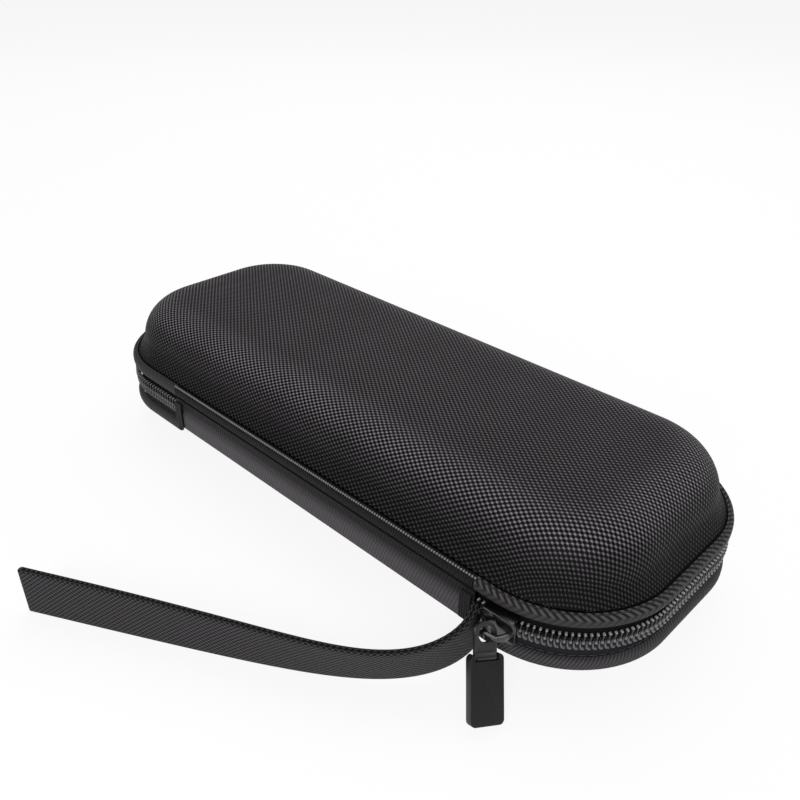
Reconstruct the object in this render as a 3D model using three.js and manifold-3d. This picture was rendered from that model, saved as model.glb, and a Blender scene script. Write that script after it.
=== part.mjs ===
// Zipped hard case that keeps insulin pens cool: two moulded halves on a fabric spine, a coil zip
// round the other three sides, two gel packs in net pockets, a pair of elastic pen loops and a
// folded wrist strap. Millimetres, +Z up. The origin is the middle of the flat underside, +X runs
// to the end with the zip slider, and -Y is the spine side.
import * as THREE from 'three';
import { mergeVertices } from 'three/addons/utils/BufferGeometryUtils.js';
import Module from 'manifold-3d';

const wasm = await Module();
wasm.setup();

// overall sizes, measured at the outside of the zip coil
const caseLength = 205;
const caseWidth = 83.2;
const cornerRadius = 30;
const baseDepth = 18.5;
const lidDepth = 24;
const lidCrown = 0.6;
const seatGap = 0.3;
const overrun = 0.4;

// walls of the two moulded halves
const shellThickness = 2.4;
const linerThickness = 0.9;
const rimRise = 4.6;
const rimInset = 3.1;
const lidLedge = 0.5;
const lidLedgeRise = 7.3;
const lidDraft = 2.5;
const lidFilletOut = 12.4;
const lidFilletUp = 12.4;
const baseDraft = 0.6;
const baseFilletOut = 15;
const baseFilletUp = 12;
const crownInset = 7;
const linerLip = 0.5;

// edge binding and zip
const bindingShares = [[0, 0], [0.65, 0], [1, 0.25], [1, 0.62], [0.65, 0.9], [0, 1]];
const bindingInset = 0.3;
const bindingThickness = 1.7;
const lidBindingStart = 3.7;
const lidBindingHeight = 4.2;
const baseBindingStart = 6;
const baseBindingHeight = 3.2;
const tapeThickness = 0.5;
const tapeEdgeRise = 0.75;
const lidTapeTop = 7;
const baseTapeTop = 8.8;
const coilThickness = 2;
const coilBevel = 0.35;
const coilHalfHeight = 2.4;
const toothPitch = 4.8;
const toothReach = 0.55;
const toothTipWidth = 1.5;
const toothFlank = 0.62;
const zipStartBeforeBend = 4.5;
const zipEndBeforeBend = 16.5;

// fabric spine
const spineThickness = 1;
const spineInset = 0.5;
const spineTopRise = 3.4;
const spineFootDrop = 7.8;
const spineFoldDepth = 0.35;
const spineFoldHeight = 1;
const spineZipGap = 0.4;
const endFoldWidth = 3.4;
const endFoldThickness = 0.6;
const flapEndGap = 10.5;
const flapThickness = 0.8;
const flapTopRise = 6.4;
const flapFootDrop = 5.5;
const flapCorner = 5;
const flapGap = 0.5;

// gel packs and their net pockets
const pouchShares = [[0, 0], [0.03, 0.45], [0.09, 0.8], [0.2, 0.97], [0.3, 1]];
const packEndGap = 15.5;
const packSideGap = 11.6;
const packThickness = 6.6;
const packCorner = 20;
const packFlange = 5;
const packFlangeThickness = 0.8;
const packShift = -3;
const netThickness = 0.6;
const netPitch = 11;
const netStrand = 1.9;
const netMargin = 3.4;
const netEdgeX = -2;
const hemWidth = 9;
const hemThickness = 1.2;

// elastic pen loops
const loopBandLeft = -33;
const loopBandWidth = 24;
const loopThickness = 0.9;
const loopRadius = 8.4;
const loopCentreY = 13;
const loopFootEnd = 33.6;

// zip slider, its crown and pull
const sliderAngle = -83.3;
const sliderLength = 9.6;
const sliderPlateThickness = 1;
const sliderNoseHeight = 7;
const sliderTailHeight = 6.2;
const sliderCorner = 0.8;
const sliderFrontGap = 0.4;
const sliderBackGap = 0.8;
const flangeThickness = 0.6;
const flangeTapeGap = 0.4;
const postLength = 2.2;
const postHeight = 0.8;
const crownRadius = 3.5;
const crownBar = 1.2;
const crownHeight = 1.3;
const crownCrossing = 106;
const pullEyeRadius = 1.85;
const pullHeadRadius = 2.8;
const pullHeadLength = 5.5;
const pullHeadThickness = 1;
const pullTongueWidth = 4;
const pullTongueLength = 3.6;
const pullTongueThickness = 0.8;
const pullRidgeWidth = 4.8;
const pullRidgeHeight = 0.5;
const pullRidgeThickness = 0.4;
const pullRidgeGap = 0.7;
const pullShoulderRise = 1.5;
const pullTabWidth = 8.4;
const pullTabLength = 14.1;
const pullTabThickness = 2.4;
const pullTabCorner = 1.2;
const pullTurn = 9;
const pullTilt = 32;
const pullSwing = 15;

// wrist strap, a folded loop of webbing
const strapLength = 116;
const strapWidth = 14;
const webbingThickness = 1;
const strapLayerGap = 0.4;
const strapZipGap = 1.2;
const strapRootOut = 0.5;
const strapRestHeading = 208.6;
const strapCurl = 60;
const strapCurlLength = 14.2;
const strapRootLift = 6.5;
const strapLiftLength = 17.4;
const strapLean = 4.75;
const strapLeanReach = 19.7;

// how finely curves are cut
const cornerSteps = 8;
const filletSteps = 5;
const strapSteps = 20;
const minRadiusShare = 0.1;
const foldSteps = 4;
const roundSteps = 12;

const coilLevel = baseDepth;
const quarterTurn = Math.PI / 2;
const spineHalf = caseLength / 2 - cornerRadius;
const endStraight = caseWidth - 2 * cornerRadius;
const quarterArc = quarterTurn * cornerRadius;
const perimeter = 4 * (spineHalf + quarterArc) + 2 * endStraight;
const tapeInset = coilThickness + seatGap;
const zipStart = spineHalf - zipStartBeforeBend;
const zipEnd = spineHalf - zipEndBeforeBend;
const spineRight = zipStart - spineZipGap;
const spineLeft = zipEnd - spineZipGap;
const flapLength = 2 * (spineHalf - flapEndGap);
const packLength = caseLength - 2 * packEndGap;
const packWidth = caseWidth - 2 * packSideGap;
const strapRootX = zipStart + strapZipGap;
const sliderRun = spineHalf + cornerRadius * (THREE.MathUtils.degToRad(sliderAngle) + quarterTurn);
const meshStart = sliderRun - sliderLength / 2 + sliderCorner + postLength;
const loopBandRight = loopBandLeft + loopBandWidth;

const lidHalf = {
  side: 1,
  depth: lidDepth,
  crown: lidCrown,
  ledge: lidLedge,
  draft: lidDraft,
  filletOut: lidFilletOut,
  filletUp: lidFilletUp,
};
const baseHalf = {
  side: -1,
  depth: baseDepth,
  crown: 0,
  ledge: 0,
  draft: baseDraft,
  filletOut: baseFilletOut,
  filletUp: baseFilletUp,
};

function levelOf(half, rise) {
  return coilLevel + half.side * rise;
}

// Makes one closed geometry and turns it right side out.
function closedGeometry(points, triangles) {
  let volume = 0;
  const [a, b, c] = [new THREE.Vector3(), new THREE.Vector3(), new THREE.Vector3()];
  for (const [i, j, k] of triangles) {
    volume += a.copy(points[i]).dot(b.copy(points[j]).cross(c.copy(points[k])));
  }
  const facing = volume < 0 ? triangles.map(([i, j, k]) => [i, k, j]) : triangles;
  const geometry = new THREE.BufferGeometry();
  const flat = points.flatMap((p) => [p.x, p.y, p.z]);
  geometry.setAttribute('position', new THREE.Float32BufferAttribute(flat, 3));
  geometry.setIndex(facing.flat());
  geometry.computeVertexNormals();
  return geometry;
}

// Skins a list of rings that all have the same count of points. Open runs get a cap at each end.
function skinRings(rings, closesOnItself) {
  const count = rings[0].length;
  const points = rings.flat();
  const triangles = [];
  const last = closesOnItself ? rings.length : rings.length - 1;
  for (let i = 0; i < last; i += 1) {
    const next = (i + 1) % rings.length;
    for (let j = 0; j < count; j += 1) {
      const k = (j + 1) % count;
      const [a, b] = [i * count + j, i * count + k];
      const [c, d] = [next * count + k, next * count + j];
      triangles.push([a, b, c], [a, c, d]);
    }
  }
  return { points, triangles, count };
}

// Carries a section along stations. A section point is [distance inwards, level].
function sweep(stations, sectionAt, closesOnItself = false) {
  const sections = stations.map((station) => alwaysAnticlockwise(sectionAt(station)));
  const rings = stations.map((station, index) => sections[index].map(([inwards, level]) => (
    new THREE.Vector3(
      station.x + station.inX * inwards,
      station.y + station.inY * inwards,
      level,
    ))));
  const { points, triangles, count } = skinRings(rings, closesOnItself);
  if (!closesOnItself) {
    const outline = sections[0].map(([x, y]) => new THREE.Vector2(x, y));
    const lastRing = (rings.length - 1) * count;
    for (const [i, j, k] of THREE.ShapeUtils.triangulateShape(outline, [])) {
      triangles.push([i, k, j], [lastRing + i, lastRing + j, lastRing + k]);
    }
  }
  return closedGeometry(points, triangles);
}

function alwaysAnticlockwise(section) {
  const outline = section.map(([x, y]) => new THREE.Vector2(x, y));
  return THREE.ShapeUtils.isClockWise(outline) ? [...section].reverse() : section;
}

// Stacks level rings and closes the first and the last with a fan.
function stackRings(rings) {
  const { points, triangles, count } = skinRings(rings, false);
  const lastRing = (rings.length - 1) * count;
  for (let j = 1; j < count - 1; j += 1) {
    triangles.push([0, j + 1, j]);
    triangles.push([lastRing, lastRing + j, lastRing + j + 1]);
  }
  return closedGeometry(points, triangles);
}

// A rounded rectangle, drawn in from its full size by an inset.
function roundedRing(length, width, radius, inset, level, centreX = 0) {
  const r = Math.max(radius - inset, radius * minRadiusShare);
  const farX = length / 2 - inset - r;
  const farY = width / 2 - inset - r;
  const ring = [];
  for (let corner = 0; corner < 4; corner += 1) {
    const cx = corner === 0 || corner === 3 ? farX : -farX;
    const cy = corner < 2 ? farY : -farY;
    for (let step = 0; step <= cornerSteps; step += 1) {
      const angle = (corner + step / cornerSteps) * quarterTurn;
      ring.push(new THREE.Vector3(
        centreX + cx + r * Math.cos(angle),
        cy + r * Math.sin(angle),
        level,
      ));
    }
  }
  return ring;
}

function caseRing(inset, level) {
  return roundedRing(caseLength, caseWidth, cornerRadius, inset, level);
}

// Places along the rim: s counts anticlockwise from the middle of the spine side.
function rimAt(s) {
  const run = ((s % perimeter) + perimeter) % perimeter;
  const legs = [
    { length: spineHalf, x: 0, y: -1, turn: 0 },
    { length: quarterArc, x: 1, y: -1, turn: 1 },
    { length: endStraight, x: 1, y: 0, turn: 0 },
    { length: quarterArc, x: 1, y: 1, turn: 1 },
    { length: 2 * spineHalf, x: 0, y: 1, turn: 0 },
    { length: quarterArc, x: -1, y: 1, turn: 1 },
    { length: endStraight, x: -1, y: 0, turn: 0 },
    { length: quarterArc, x: -1, y: -1, turn: 1 },
    { length: spineHalf, x: 0, y: -1, turn: 0 },
  ];
  let before = 0;
  let heading = 0;
  let point = { x: 0, y: -caseWidth / 2 };
  for (const leg of legs) {
    const along = Math.min(run - before, leg.length);
    if (leg.turn === 0) {
      point = {
        x: point.x + Math.cos(heading) * along,
        y: point.y + Math.sin(heading) * along,
      };
    } else {
      const turned = heading + along / cornerRadius;
      point = {
        x: point.x + cornerRadius * (Math.sin(turned) - Math.sin(heading)),
        y: point.y - cornerRadius * (Math.cos(turned) - Math.cos(heading)),
      };
      heading = turned;
    }
    before += leg.length;
    if (run <= before) break;
  }
  return { ...point, inX: -Math.sin(heading), inY: Math.cos(heading) };
}

// Every place between two runs where a straight meets a bend, and the steps of each bend.
function rimStops(from, to) {
  const bends = [
    spineHalf,
    spineHalf + quarterArc + endStraight,
    3 * spineHalf + 2 * quarterArc + endStraight,
    3 * spineHalf + 3 * quarterArc + 2 * endStraight,
  ];
  const stops = [];
  for (const lap of [-perimeter, 0]) {
    for (const bend of bends) {
      for (let step = 0; step <= cornerSteps; step += 1) {
        stops.push(lap + bend + (quarterArc * step) / cornerSteps);
      }
    }
  }
  const inside = stops.filter((s) => s > from + seatGap && s < to - seatGap);
  return [from, ...inside.sort((a, b) => a - b), to];
}

function rimStations(from, to) {
  return rimStops(from, to).map(rimAt);
}

function rimLoop() {
  const stops = rimStops(0, perimeter);
  return stops.slice(0, -1).map(rimAt);
}

// The wall of one half as [inset, rise] points from its rim to its flat, drawn in by an offset.
function wallProfile(half, offset, startRise) {
  const rise0 = Math.max(startRise, rimRise);
  const wallTop = half.depth - half.filletUp;
  const start = rimInset + offset;
  const centre = rimInset - half.ledge + half.draft + half.filletOut;
  const points = [[start, rise0]];
  if (half.ledge > 0) {
    points.push([start, lidLedgeRise], [start - half.ledge, lidLedgeRise + half.ledge]);
  }
  for (let step = 0; step <= filletSteps; step += 1) {
    const angle = (quarterTurn * step) / filletSteps;
    points.push([
      centre - (half.filletOut - offset) * Math.cos(angle),
      wallTop + (half.filletUp - offset) * Math.sin(angle),
    ]);
  }
  if (half.crown > 0) {
    points.push([centre + crownInset, half.depth - offset + half.crown]);
  }
  return points;
}

// How far in the wall stands at one rise.
function wallInset(half, offset, rise) {
  const wallTop = half.depth - half.filletUp;
  const centre = rimInset - half.ledge + half.draft + half.filletOut;
  if (rise <= wallTop) return centre - (half.filletOut - offset);
  const climb = Math.min((rise - wallTop) / (half.filletUp - offset), 1);
  return centre - (half.filletOut - offset) * Math.sqrt(1 - climb * climb);
}

function toRings(half, profile) {
  return profile.map(([inset, rise]) => caseRing(inset, levelOf(half, rise)));
}

function shellGeometry(half) {
  const outer = wallProfile(half, 0, rimRise).reverse();
  const inner = wallProfile(half, shellThickness, rimRise);
  return stackRings(toRings(half, [...outer, ...inner]));
}

// The lining follows the shell inside and turns out over its cut edge as a flat lip.
function linerGeometry(half) {
  const outside = shellThickness + seatGap;
  const lipTop = rimRise - seatGap;
  const outer = wallProfile(half, outside, rimRise).reverse();
  const inner = wallProfile(half, outside + linerThickness, rimRise).slice(1);
  const throat = rimInset + outside + linerThickness;
  const lip = [
    [rimInset + outside, lipTop],
    [rimInset + seatGap, lipTop],
    [rimInset + seatGap, lipTop - linerLip],
    [throat, lipTop - linerLip],
  ];
  return stackRings(toRings(half, [...outer.slice(0, -1), ...lip, ...inner]));
}

// A soft rolled edge: full at the middle and drawn in at both sides.
function bindingSection(start, height) {
  const back = bindingInset + bindingThickness;
  return bindingShares.map(([inShare, upShare]) => [
    back - bindingThickness * inShare,
    start + height * upShare,
  ]);
}

function lidBindingGeometry() {
  const section = bindingSection(lidBindingStart, lidBindingHeight);
  const placed = section.map(([inset, rise]) => [inset, levelOf(lidHalf, rise)]);
  return sweep(rimLoop(), () => placed, true);
}

function baseBindingGeometry() {
  const section = bindingSection(baseBindingStart, baseBindingHeight);
  const placed = section.map(([inset, rise]) => [inset, levelOf(baseHalf, rise)]);
  return sweep(rimStations(zipStart, perimeter - zipEnd), () => placed);
}

function tapeGeometry(half, topRise) {
  const [low, high] = [levelOf(half, tapeEdgeRise), levelOf(half, topRise)];
  const section = [
    [tapeInset, low],
    [tapeInset + tapeThickness, low],
    [tapeInset + tapeThickness, high],
    [tapeInset, high],
  ];
  return sweep(rimStations(zipStart, perimeter - zipEnd), () => section);
}

// One side of the chain: a cord whose inner edge is cut into teeth. The teeth of the two sides
// stand half a pitch apart and reach past the middle into each other's gaps.
function coilGeometry(half) {
  const run = perimeter - zipEnd - meshStart;
  const teeth = Math.floor(run / toothPitch) - 1;
  const shift = half.side > 0 ? toothPitch / 2 : 0;
  const stops = [{ s: zipStart, isTip: false }];
  for (let tooth = 0; tooth < teeth; tooth += 1) {
    const middle = meshStart + shift + (tooth + 0.5) * toothPitch;
    const tip = toothTipWidth / 2;
    stops.push({ s: middle - tip - toothFlank, isTip: false });
    stops.push({ s: middle - tip, isTip: true });
    stops.push({ s: middle + tip, isTip: true });
    stops.push({ s: middle + tip + toothFlank, isTip: false });
  }
  stops.push({ s: perimeter - zipEnd, isTip: false });
  const edge = levelOf(half, coilHalfHeight);
  const tipLevel = levelOf(half, -toothReach);
  const rootLevel = levelOf(half, toothReach + seatGap);
  const section = (level) => [
    [coilBevel, edge],
    [coilThickness, edge],
    [coilThickness, level],
    [0, level],
  ];
  const stations = stops.map((stop) => ({ ...rimAt(stop.s), isTip: stop.isTip }));
  return sweep(stations, (station) => section(station.isTip ? tipLevel : rootLevel));
}

// The outer spine runs from under the lid's binding to the foot it is sewn to on the base.
function spineGeometry() {
  const [face, back] = [spineInset, spineInset + spineThickness];
  const footInset = rimInset - seatGap;
  const top = coilLevel + spineTopRise;
  const foot = coilLevel - spineFootDrop;
  const section = [
    [back, top],
    [back, foot + 2 * spineThickness],
    [footInset, foot + spineThickness],
    [footInset, foot],
    [back, foot + spineThickness / 2],
    [face, foot + 2 * spineThickness],
    [face, coilLevel - spineFoldHeight / 2],
    [face + spineFoldDepth, coilLevel],
    [face, coilLevel + spineFoldHeight / 2],
    [face, top - spineThickness / 2],
    [face + spineThickness / 2, top],
  ];
  return sweep(rimStations(-spineLeft, spineRight), () => section);
}

// A folded and stitched strip that closes one end of the spine.
function endFoldGeometry(from, to) {
  const top = coilLevel + spineTopRise - spineThickness;
  const foot = coilLevel - spineFootDrop + 2 * spineThickness;
  const face = spineInset - seatGap - endFoldThickness;
  const back = spineInset - seatGap;
  const section = [
    [face + endFoldThickness / 2, foot],
    [back, foot],
    [back, top],
    [face + endFoldThickness / 2, top],
    [face, top - endFoldThickness],
    [face, foot + endFoldThickness],
  ];
  return sweep(rimStations(from, to), () => section);
}

// The smooth flap that covers the spine inside, an upright panel with rounded corners.
function flapGeometry() {
  const height = flapTopRise + flapFootDrop;
  const outline = new THREE.Shape();
  addRoundedOutline(outline, flapLength, height, flapCorner);
  const flap = new THREE.ExtrudeGeometry(outline, {
    depth: flapThickness,
    bevelEnabled: false,
    curveSegments: cornerSteps,
  });
  flap.rotateX(quarterTurn);
  const wall = wallInset(baseHalf, shellThickness + seatGap + linerThickness, rimRise);
  const y = -caseWidth / 2 + wall + flapGap + flapThickness;
  flap.translate(0, y, coilLevel + (flapTopRise - flapFootDrop) / 2);
  return flap;
}

function addRoundedOutline(path, length, height, radius) {
  const [x, y] = [length / 2 - radius, height / 2 - radius];
  path.absarc(x, y, radius, 0, quarterTurn);
  path.absarc(-x, y, radius, quarterTurn, 2 * quarterTurn);
  path.absarc(-x, -y, radius, 2 * quarterTurn, 3 * quarterTurn);
  path.absarc(x, -y, radius, 3 * quarterTurn, 4 * quarterTurn);
}

// How high the stack of lining, pack and net stands off the flat of each half.
function packSeatRise(half) {
  return half.depth - shellThickness - 2 * seatGap - linerThickness;
}

function netRise(half) {
  return packSeatRise(half) - packThickness - seatGap;
}

// A filled pouch: two crowned faces with a flat welded flange all round.
function packGeometry(half) {
  const middle = levelOf(half, packSeatRise(half) - packThickness / 2);
  const swell = packThickness / 2;
  const flange = packFlangeThickness / 2;
  const upper = pouchShares.map(([inShare, upShare]) => [
    packFlange + packWidth * inShare,
    flange + (swell - flange) * upShare,
  ]);
  const profile = [
    ...upper.map(([inset, rise]) => [inset, -rise]).reverse(),
    [0, -flange],
    [0, flange],
    ...upper,
  ];
  const rings = profile.map(([inset, rise]) => (
    roundedRing(packLength, packWidth, packCorner, inset, middle + rise, packShift)));
  return stackRings(rings);
}

// The inside of one half at the level of its net, clear of the lining.
function netInset(half) {
  const lining = shellThickness + seatGap + linerThickness;
  return wallInset(half, lining, netRise(half)) + seatGap;
}

// A flat net cut from one sheet: diamond gaps in staggered rows, up to the edge of the pocket.
function netGeometry(half) {
  const inset = netInset(half);
  const ring = caseRing(inset, 0).filter((p) => p.x < netEdgeX);
  const halfWidth = caseWidth / 2 - inset;
  const edge = [[netEdgeX, -halfWidth], [netEdgeX, halfWidth]];
  const outline = [...ring.map((p) => [p.x, p.y]), edge[0], edge[1]];
  const shape = new THREE.Shape(outline.map(([x, y]) => new THREE.Vector2(x, y)));
  const reach = netPitch / 2 - netStrand / Math.SQRT2;
  const isInside = (x, y) => insideRounded(x, y, inset + netMargin)
    && x + reach < netEdgeX - netMargin / 2;
  const columns = Math.ceil(caseLength / netPitch);
  const rows = Math.ceil(caseWidth / netPitch);
  for (let column = 0; column < columns; column += 1) {
    for (let row = -rows; row <= rows; row += 1) {
      const x = netEdgeX - netMargin - (column * netPitch) / 2 - reach;
      const y = (row + (column % 2) / 2) * netPitch;
      if (isInside(x - reach, y - reach) && isInside(x - reach, y + reach)) {
        shape.holes.push(diamond(x, y, reach));
      }
    }
  }
  const net = new THREE.ExtrudeGeometry(shape, { depth: netThickness, bevelEnabled: false });
  net.translate(0, 0, Math.min(levelOf(half, netRise(half)),
    levelOf(half, netRise(half) - netThickness)));
  return net;
}

function insideRounded(x, y, inset) {
  const radius = cornerRadius - inset;
  const farX = Math.abs(x) - (caseLength / 2 - cornerRadius);
  const farY = Math.abs(y) - (caseWidth / 2 - cornerRadius);
  return Math.hypot(Math.max(farX, 0), Math.max(farY, 0)) < radius;
}

function diamond(x, y, reach) {
  const hole = new THREE.Path();
  hole.moveTo(x + reach, y);
  hole.lineTo(x, y + reach);
  hole.lineTo(x - reach, y);
  hole.lineTo(x, y - reach);
  hole.closePath();
  return hole;
}

function hemGeometry(half) {
  const halfWidth = caseWidth / 2 - netInset(half);
  const hem = new THREE.BoxGeometry(hemWidth, 2 * halfWidth, hemThickness);
  const level = levelOf(half, netRise(half) - hemThickness / 2);
  hem.translate(netEdgeX + seatGap + hemWidth / 2, 0, level);
  return hem;
}

// One elastic band, sewn down at both sides and in the middle, that stands up in two loops.
function penLoopGeometry() {
  const foot = netRise(baseHalf) - netThickness - seatGap;
  const low = -foot;
  const top = low + loopThickness;
  const centre = top + loopRadius - loopThickness;
  const outer = loopRadius + loopThickness;
  const band = new THREE.Shape();
  band.moveTo(-loopFootEnd, low);
  band.lineTo(-loopCentreY - loopRadius, low);
  band.lineTo(-loopCentreY - loopRadius, centre);
  band.absarc(-loopCentreY, centre, loopRadius, 2 * quarterTurn, 0, true);
  band.lineTo(-loopCentreY + loopRadius, low);
  band.lineTo(loopCentreY - loopRadius, low);
  band.lineTo(loopCentreY - loopRadius, centre);
  band.absarc(loopCentreY, centre, loopRadius, 2 * quarterTurn, 0, true);
  band.lineTo(loopCentreY + loopRadius, low);
  band.lineTo(loopFootEnd, low);
  band.lineTo(loopFootEnd, top);
  band.lineTo(loopCentreY + outer, top);
  band.lineTo(loopCentreY + outer, centre);
  band.absarc(loopCentreY, centre, outer, 0, 2 * quarterTurn, false);
  band.lineTo(loopCentreY - outer, top);
  band.lineTo(-loopCentreY + outer, top);
  band.lineTo(-loopCentreY + outer, centre);
  band.absarc(-loopCentreY, centre, outer, 0, 2 * quarterTurn, false);
  band.lineTo(-loopCentreY - outer, top);
  band.lineTo(-loopFootEnd, top);
  band.closePath();
  const loops = new THREE.ExtrudeGeometry(band, {
    depth: loopBandWidth,
    bevelEnabled: false,
    curveSegments: roundSteps,
  });
  loops.rotateX(quarterTurn);
  loops.rotateZ(quarterTurn);
  loops.translate(loopBandLeft, 0, coilLevel);
  return loops;
}

function toManifold(geometry) {
  const bare = geometry.clone();
  bare.deleteAttribute('normal');
  bare.deleteAttribute('uv');
  const merged = mergeVertices(bare);
  const count = merged.attributes.position.count;
  const triVerts = merged.index ? new Uint32Array(merged.index.array)
    : Uint32Array.from({ length: count }, (_, i) => i);
  return new wasm.Manifold(new wasm.Mesh({
    numProp: 3,
    vertProperties: new Float32Array(merged.attributes.position.array),
    triVerts,
  }));
}

function toGeometry(solid) {
  const mesh = solid.getMesh();
  const geometry = new THREE.BufferGeometry();
  geometry.setAttribute('position', new THREE.Float32BufferAttribute(mesh.vertProperties, 3));
  geometry.setIndex(new THREE.BufferAttribute(mesh.triVerts, 1));
  geometry.computeVertexNormals();
  return geometry;
}

function joined(geometries) {
  return geometries.map(toManifold).reduce((whole, next) => whole.add(next));
}

function block(length, depth, height, x, y, z) {
  const box = new THREE.BoxGeometry(length, depth, height);
  box.translate(x, y, z);
  return box;
}

// A slider plate: taller at the nose than at the tail, with its corners rounded off.
function sliderPlate(front) {
  const outline = new THREE.Shape();
  const [nose, tail] = [sliderNoseHeight / 2, sliderTailHeight / 2];
  const end = sliderLength / 2;
  outline.moveTo(-end + sliderCorner, -nose);
  outline.lineTo(-end, -nose + sliderCorner);
  outline.lineTo(-end, nose - sliderCorner);
  outline.lineTo(-end + sliderCorner, nose);
  outline.lineTo(end - sliderCorner, tail);
  outline.lineTo(end, tail - sliderCorner);
  outline.lineTo(end, -tail + sliderCorner);
  outline.lineTo(end - sliderCorner, -tail);
  outline.closePath();
  const plate = new THREE.ExtrudeGeometry(outline, {
    depth: sliderPlateThickness,
    bevelEnabled: false,
  });
  plate.rotateX(quarterTurn);
  plate.translate(0, front + sliderPlateThickness, 0);
  return plate;
}

// The slider in its own frame: x along the chain, y into the case, z up. Two plates with the
// chain between them, a post at the nose, lips round the coil and a crown for the pull.
function sliderGeometry() {
  const front = -sliderFrontGap - sliderPlateThickness;
  const back = tapeInset + tapeThickness + sliderBackGap;
  const lipEnd = tapeInset - flangeTapeGap;
  const lipDepth = lipEnd + sliderFrontGap + overrun;
  const lipMiddle = lipEnd - lipDepth / 2;
  const lipLevel = coilHalfHeight + seatGap + flangeThickness / 2;
  const lipLength = sliderLength - 2 * sliderCorner;
  const postDepth = back + sliderFrontGap + 2 * overrun;
  const postX = -sliderLength / 2 + sliderCorner + postLength / 2;
  const crown = crownArch();
  crown.translate(0, front + overrun, 0);
  return toGeometry(joined([
    sliderPlate(front),
    sliderPlate(back),
    block(lipLength, lipDepth, flangeThickness, 0, lipMiddle, lipLevel),
    block(lipLength, lipDepth, flangeThickness, 0, lipMiddle, -lipLevel),
    block(postLength, postDepth, postHeight, postX, (back - sliderFrontGap) / 2, 0),
    crown,
  ]));
}

// The crown is half a ring, standing out of the front plate.
function crownArch() {
  const [outer, inner] = [crownRadius + crownBar / 2, crownRadius - crownBar / 2];
  const arch = new THREE.Shape();
  arch.moveTo(outer, overrun);
  arch.lineTo(outer, 0);
  arch.absarc(0, 0, outer, 0, -2 * quarterTurn, true);
  arch.lineTo(-outer, overrun);
  arch.lineTo(-inner, overrun);
  arch.lineTo(-inner, 0);
  arch.absarc(0, 0, inner, -2 * quarterTurn, 0, false);
  arch.lineTo(inner, overrun);
  arch.closePath();
  const geometry = new THREE.ExtrudeGeometry(arch, {
    depth: crownHeight,
    bevelEnabled: false,
    curveSegments: roundSteps,
  });
  geometry.translate(0, -overrun, -crownHeight / 2);
  return geometry;
}

// The pull's metal head in its own frame: z up along the pull, y through its thickness, and the
// middle of the eye at the origin. A tongue below the clamp bar holds the soft tab.
function pullHeadGeometry() {
  const plate = new THREE.Shape();
  plate.absarc(0, 0, pullHeadRadius, 0, 2 * quarterTurn, false);
  plate.lineTo(-pullHeadRadius, -pullHeadLength);
  plate.lineTo(pullHeadRadius, -pullHeadLength);
  plate.closePath();
  const eye = new THREE.Path();
  eye.absarc(0, 0, pullEyeRadius, 0, 4 * quarterTurn, false);
  plate.holes.push(eye);
  const head = new THREE.ExtrudeGeometry(plate, {
    depth: pullHeadThickness,
    bevelEnabled: false,
    curveSegments: roundSteps,
  });
  head.rotateX(quarterTurn);
  head.translate(0, pullHeadThickness / 2, 0);
  const tongueLength = pullTongueLength + overrun;
  const tongueZ = -pullHeadLength + overrun - tongueLength / 2;
  const tongue = block(pullTongueWidth, pullTongueThickness, tongueLength, 0, 0, tongueZ);
  const ridges = [0, 1].map((index) => {
    const z = -pullHeadLength + pullRidgeHeight / 2 + index * (pullRidgeHeight + pullRidgeGap);
    const depth = pullHeadThickness + 2 * pullRidgeThickness;
    return block(pullRidgeWidth, depth, pullRidgeHeight, 0, 0, z);
  });
  return toGeometry(joined([head, tongue, ...ridges]));
}

// The soft tab. Its shoulders rise beside the head, and a pocket takes the head's tongue.
function pullTabGeometry() {
  const outline = new THREE.Shape();
  addRoundedOutline(outline, pullTabWidth, pullTabLength + pullShoulderRise, pullTabCorner);
  const tab = new THREE.ExtrudeGeometry(outline, {
    depth: pullTabThickness,
    bevelEnabled: false,
    curveSegments: filletSteps,
  });
  tab.rotateX(quarterTurn);
  const seat = -pullHeadLength - seatGap;
  tab.translate(0, pullTabThickness / 2, seat + (pullShoulderRise - pullTabLength) / 2);
  const notchDepth = pullShoulderRise + overrun;
  const notch = block(
    2 * (pullHeadRadius + seatGap),
    pullTabThickness + 2 * overrun,
    notchDepth,
    0,
    0,
    seat + notchDepth / 2,
  );
  const pocketLength = pullTongueLength + overrun;
  const pocket = block(
    pullTongueWidth + 2 * seatGap,
    pullTongueThickness + 2 * seatGap,
    pocketLength,
    0,
    0,
    seat + overrun - pocketLength / 2,
  );
  return toGeometry(toManifold(tab).subtract(toManifold(notch)).subtract(toManifold(pocket)));
}

// The strap's middle line on plan: it leaves the seam square to the case and curls away.
function strapLine() {
  const step = strapLength / strapSteps;
  const places = [];
  let [x, y] = [strapRootX, -caseWidth / 2 - strapRootOut];
  for (let index = 0; index <= strapSteps; index += 1) {
    const run = index * step;
    const turn = strapCurl * Math.exp(-run / strapCurlLength);
    const heading = THREE.MathUtils.degToRad(strapRestHeading + turn);
    places.push({ x, y, heading, run });
    const middle = strapCurl * Math.exp(-(run + step / 2) / strapCurlLength);
    const onward = THREE.MathUtils.degToRad(strapRestHeading + middle);
    x += Math.cos(onward) * step;
    y += Math.sin(onward) * step;
  }
  return places;
}

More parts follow.
